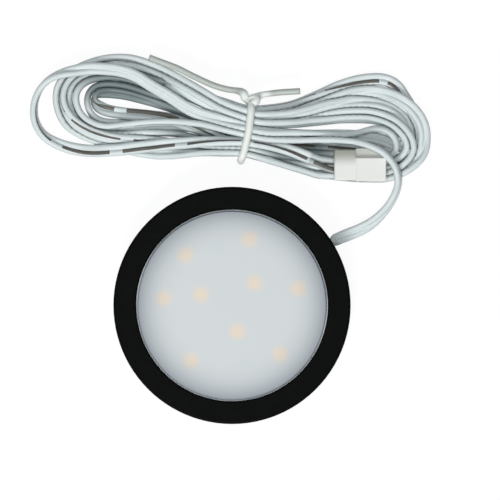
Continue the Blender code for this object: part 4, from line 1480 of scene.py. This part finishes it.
class Lamp:
    """The CAD nodes of the lamp and the connector, with their finishes."""

    FINISHES = {
        Slot.BEZEL: Finish("bezel_black", (0.0014, 0.0017, 0.0016), (0.0022, 0.0025, 0.0023), 0.46, 0.1,
                           2600.0, 0.00003, specular=0.021),
        Slot.HOUSING: Finish("housing_black", (0.013, 0.013, 0.0135), (0.018, 0.018, 0.018), 0.58, 0.1,
                             1800.0, 0.00004),
        Slot.SPACER: Finish("spacer_white", (0.80, 0.81, 0.81), (0.74, 0.75, 0.76), 0.5),
        Slot.BOARD: Finish("board_white", (0.82, 0.83, 0.82), (0.76, 0.77, 0.76), 0.35, 0.06, 1200.0,
                           0.00001),
        Slot.PAD: Finish("thermal_grey", (0.30, 0.33, 0.36), (0.25, 0.28, 0.31), 0.85, 0.1, 1500.0, 0.00005),
        Slot.LED: Finish("led_phosphor", (0.85, 0.62, 0.20), (0.78, 0.55, 0.16), 0.4, 0.1, 2500.0, 0.00001),
        Slot.RESISTOR: Finish("resistor_black", (0.03, 0.03, 0.034), (0.05, 0.05, 0.052), 0.45),
        Slot.SOLDER: Finish("solder", (0.62, 0.63, 0.65), (0.54, 0.55, 0.57), 0.3, 0.2, 1500.0, 0.00003,
                            metallic=1.0),
        Slot.PIN: Finish("pin_tin", (0.68, 0.68, 0.66), (0.60, 0.60, 0.58), 0.25, 0.1, 2500.0, 0.00001,
                         metallic=1.0),
    }
    SCREW_RADIUS = 15.0
    SCREW_ANGLES = (103.5, 283.5)

    def __init__(self, frame: dict[str, Any]) -> None:
        """Keeps the CAD nodes and their material slots."""
        self.nodes = frame["nodes"]
        self.slots = {part["node"]: part["material_slot"] for part in frame["record"]["subparts"]}

    def dress(self, lens: OpalFinish, connector: ConnectorFinish, jacket: bpy.types.Material) -> None:
        """Gives every CAD node but the tie its finish.

        Args:
            lens: The lens's finish.
            connector: The connector's finish.
            jacket: The jacket's material, for the inner cores.
        """
        leds = [sum(map(Vector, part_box(node)), Vector()) / 2
                for node, slot in self.slots.items() if slot == Slot.LED.value]
        angles = [math.radians(angle) for angle in self.SCREW_ANGLES]
        holes = [Vector((math.cos(angle), math.sin(angle), 0.0)) * self.SCREW_RADIUS * MM for angle in angles]
        made = {slot.value: finish.build() for slot, finish in self.FINISHES.items()}
        made[Slot.LENS.value] = lens.build(leds, holes)
        made[Slot.CONNECTOR.value] = connector.build()
        made[Slot.CABLE.value] = jacket
        for name, slot in self.slots.items():
            if slot in made:
                materials = self.nodes[name].data.materials
                materials.clear()
                materials.append(made[slot])
                log.info("dressed %s as %s", name, slot)


def box_in_mm(node: str) -> tuple[np.ndarray, np.ndarray]:
    """The lowest and highest corners of a CAD node, in millimetres."""
    low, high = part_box(node)
    return np.array(low) / MM, np.array(high) / MM


def main() -> None:
    """Builds every piece in order."""
    logging.basicConfig(level=logging.INFO, format="%(name)s: %(message)s")
    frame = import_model()
    studio = Studio(StudioSize())
    studio.camera()
    studio.lights()
    studio.floor(FloorFinish())
    size = LeadSize()
    winding = Winding(size, Settling(), Shade(), box_in_mm("connector_housing"))
    ends = []
    for low, high in map(box_in_mm, ("end_core_marked", "end_core_plain")):
        ends.append(np.array([high[0] + size.core_tuck, *((low + high) / 2)[1:]]))
    jacket = JacketFinish().build()
    Lamp(frame).dress(OpalFinish(), ConnectorFinish(), jacket)
    stripe = Finish("marker_stripe", (0.08, 0.077, 0.066), (0.11, 0.106, 0.092), 0.5, 0.1, 1500.0, 0.00001)
    tie = TwistTie(TieSize(), winding).build(TieFinish().build())
    FlatLead(size, winding, ends).build(jacket, stripe.build(), (frame["nodes"]["connector_housing"], tie))


if __name__ == "__main__":
    main()
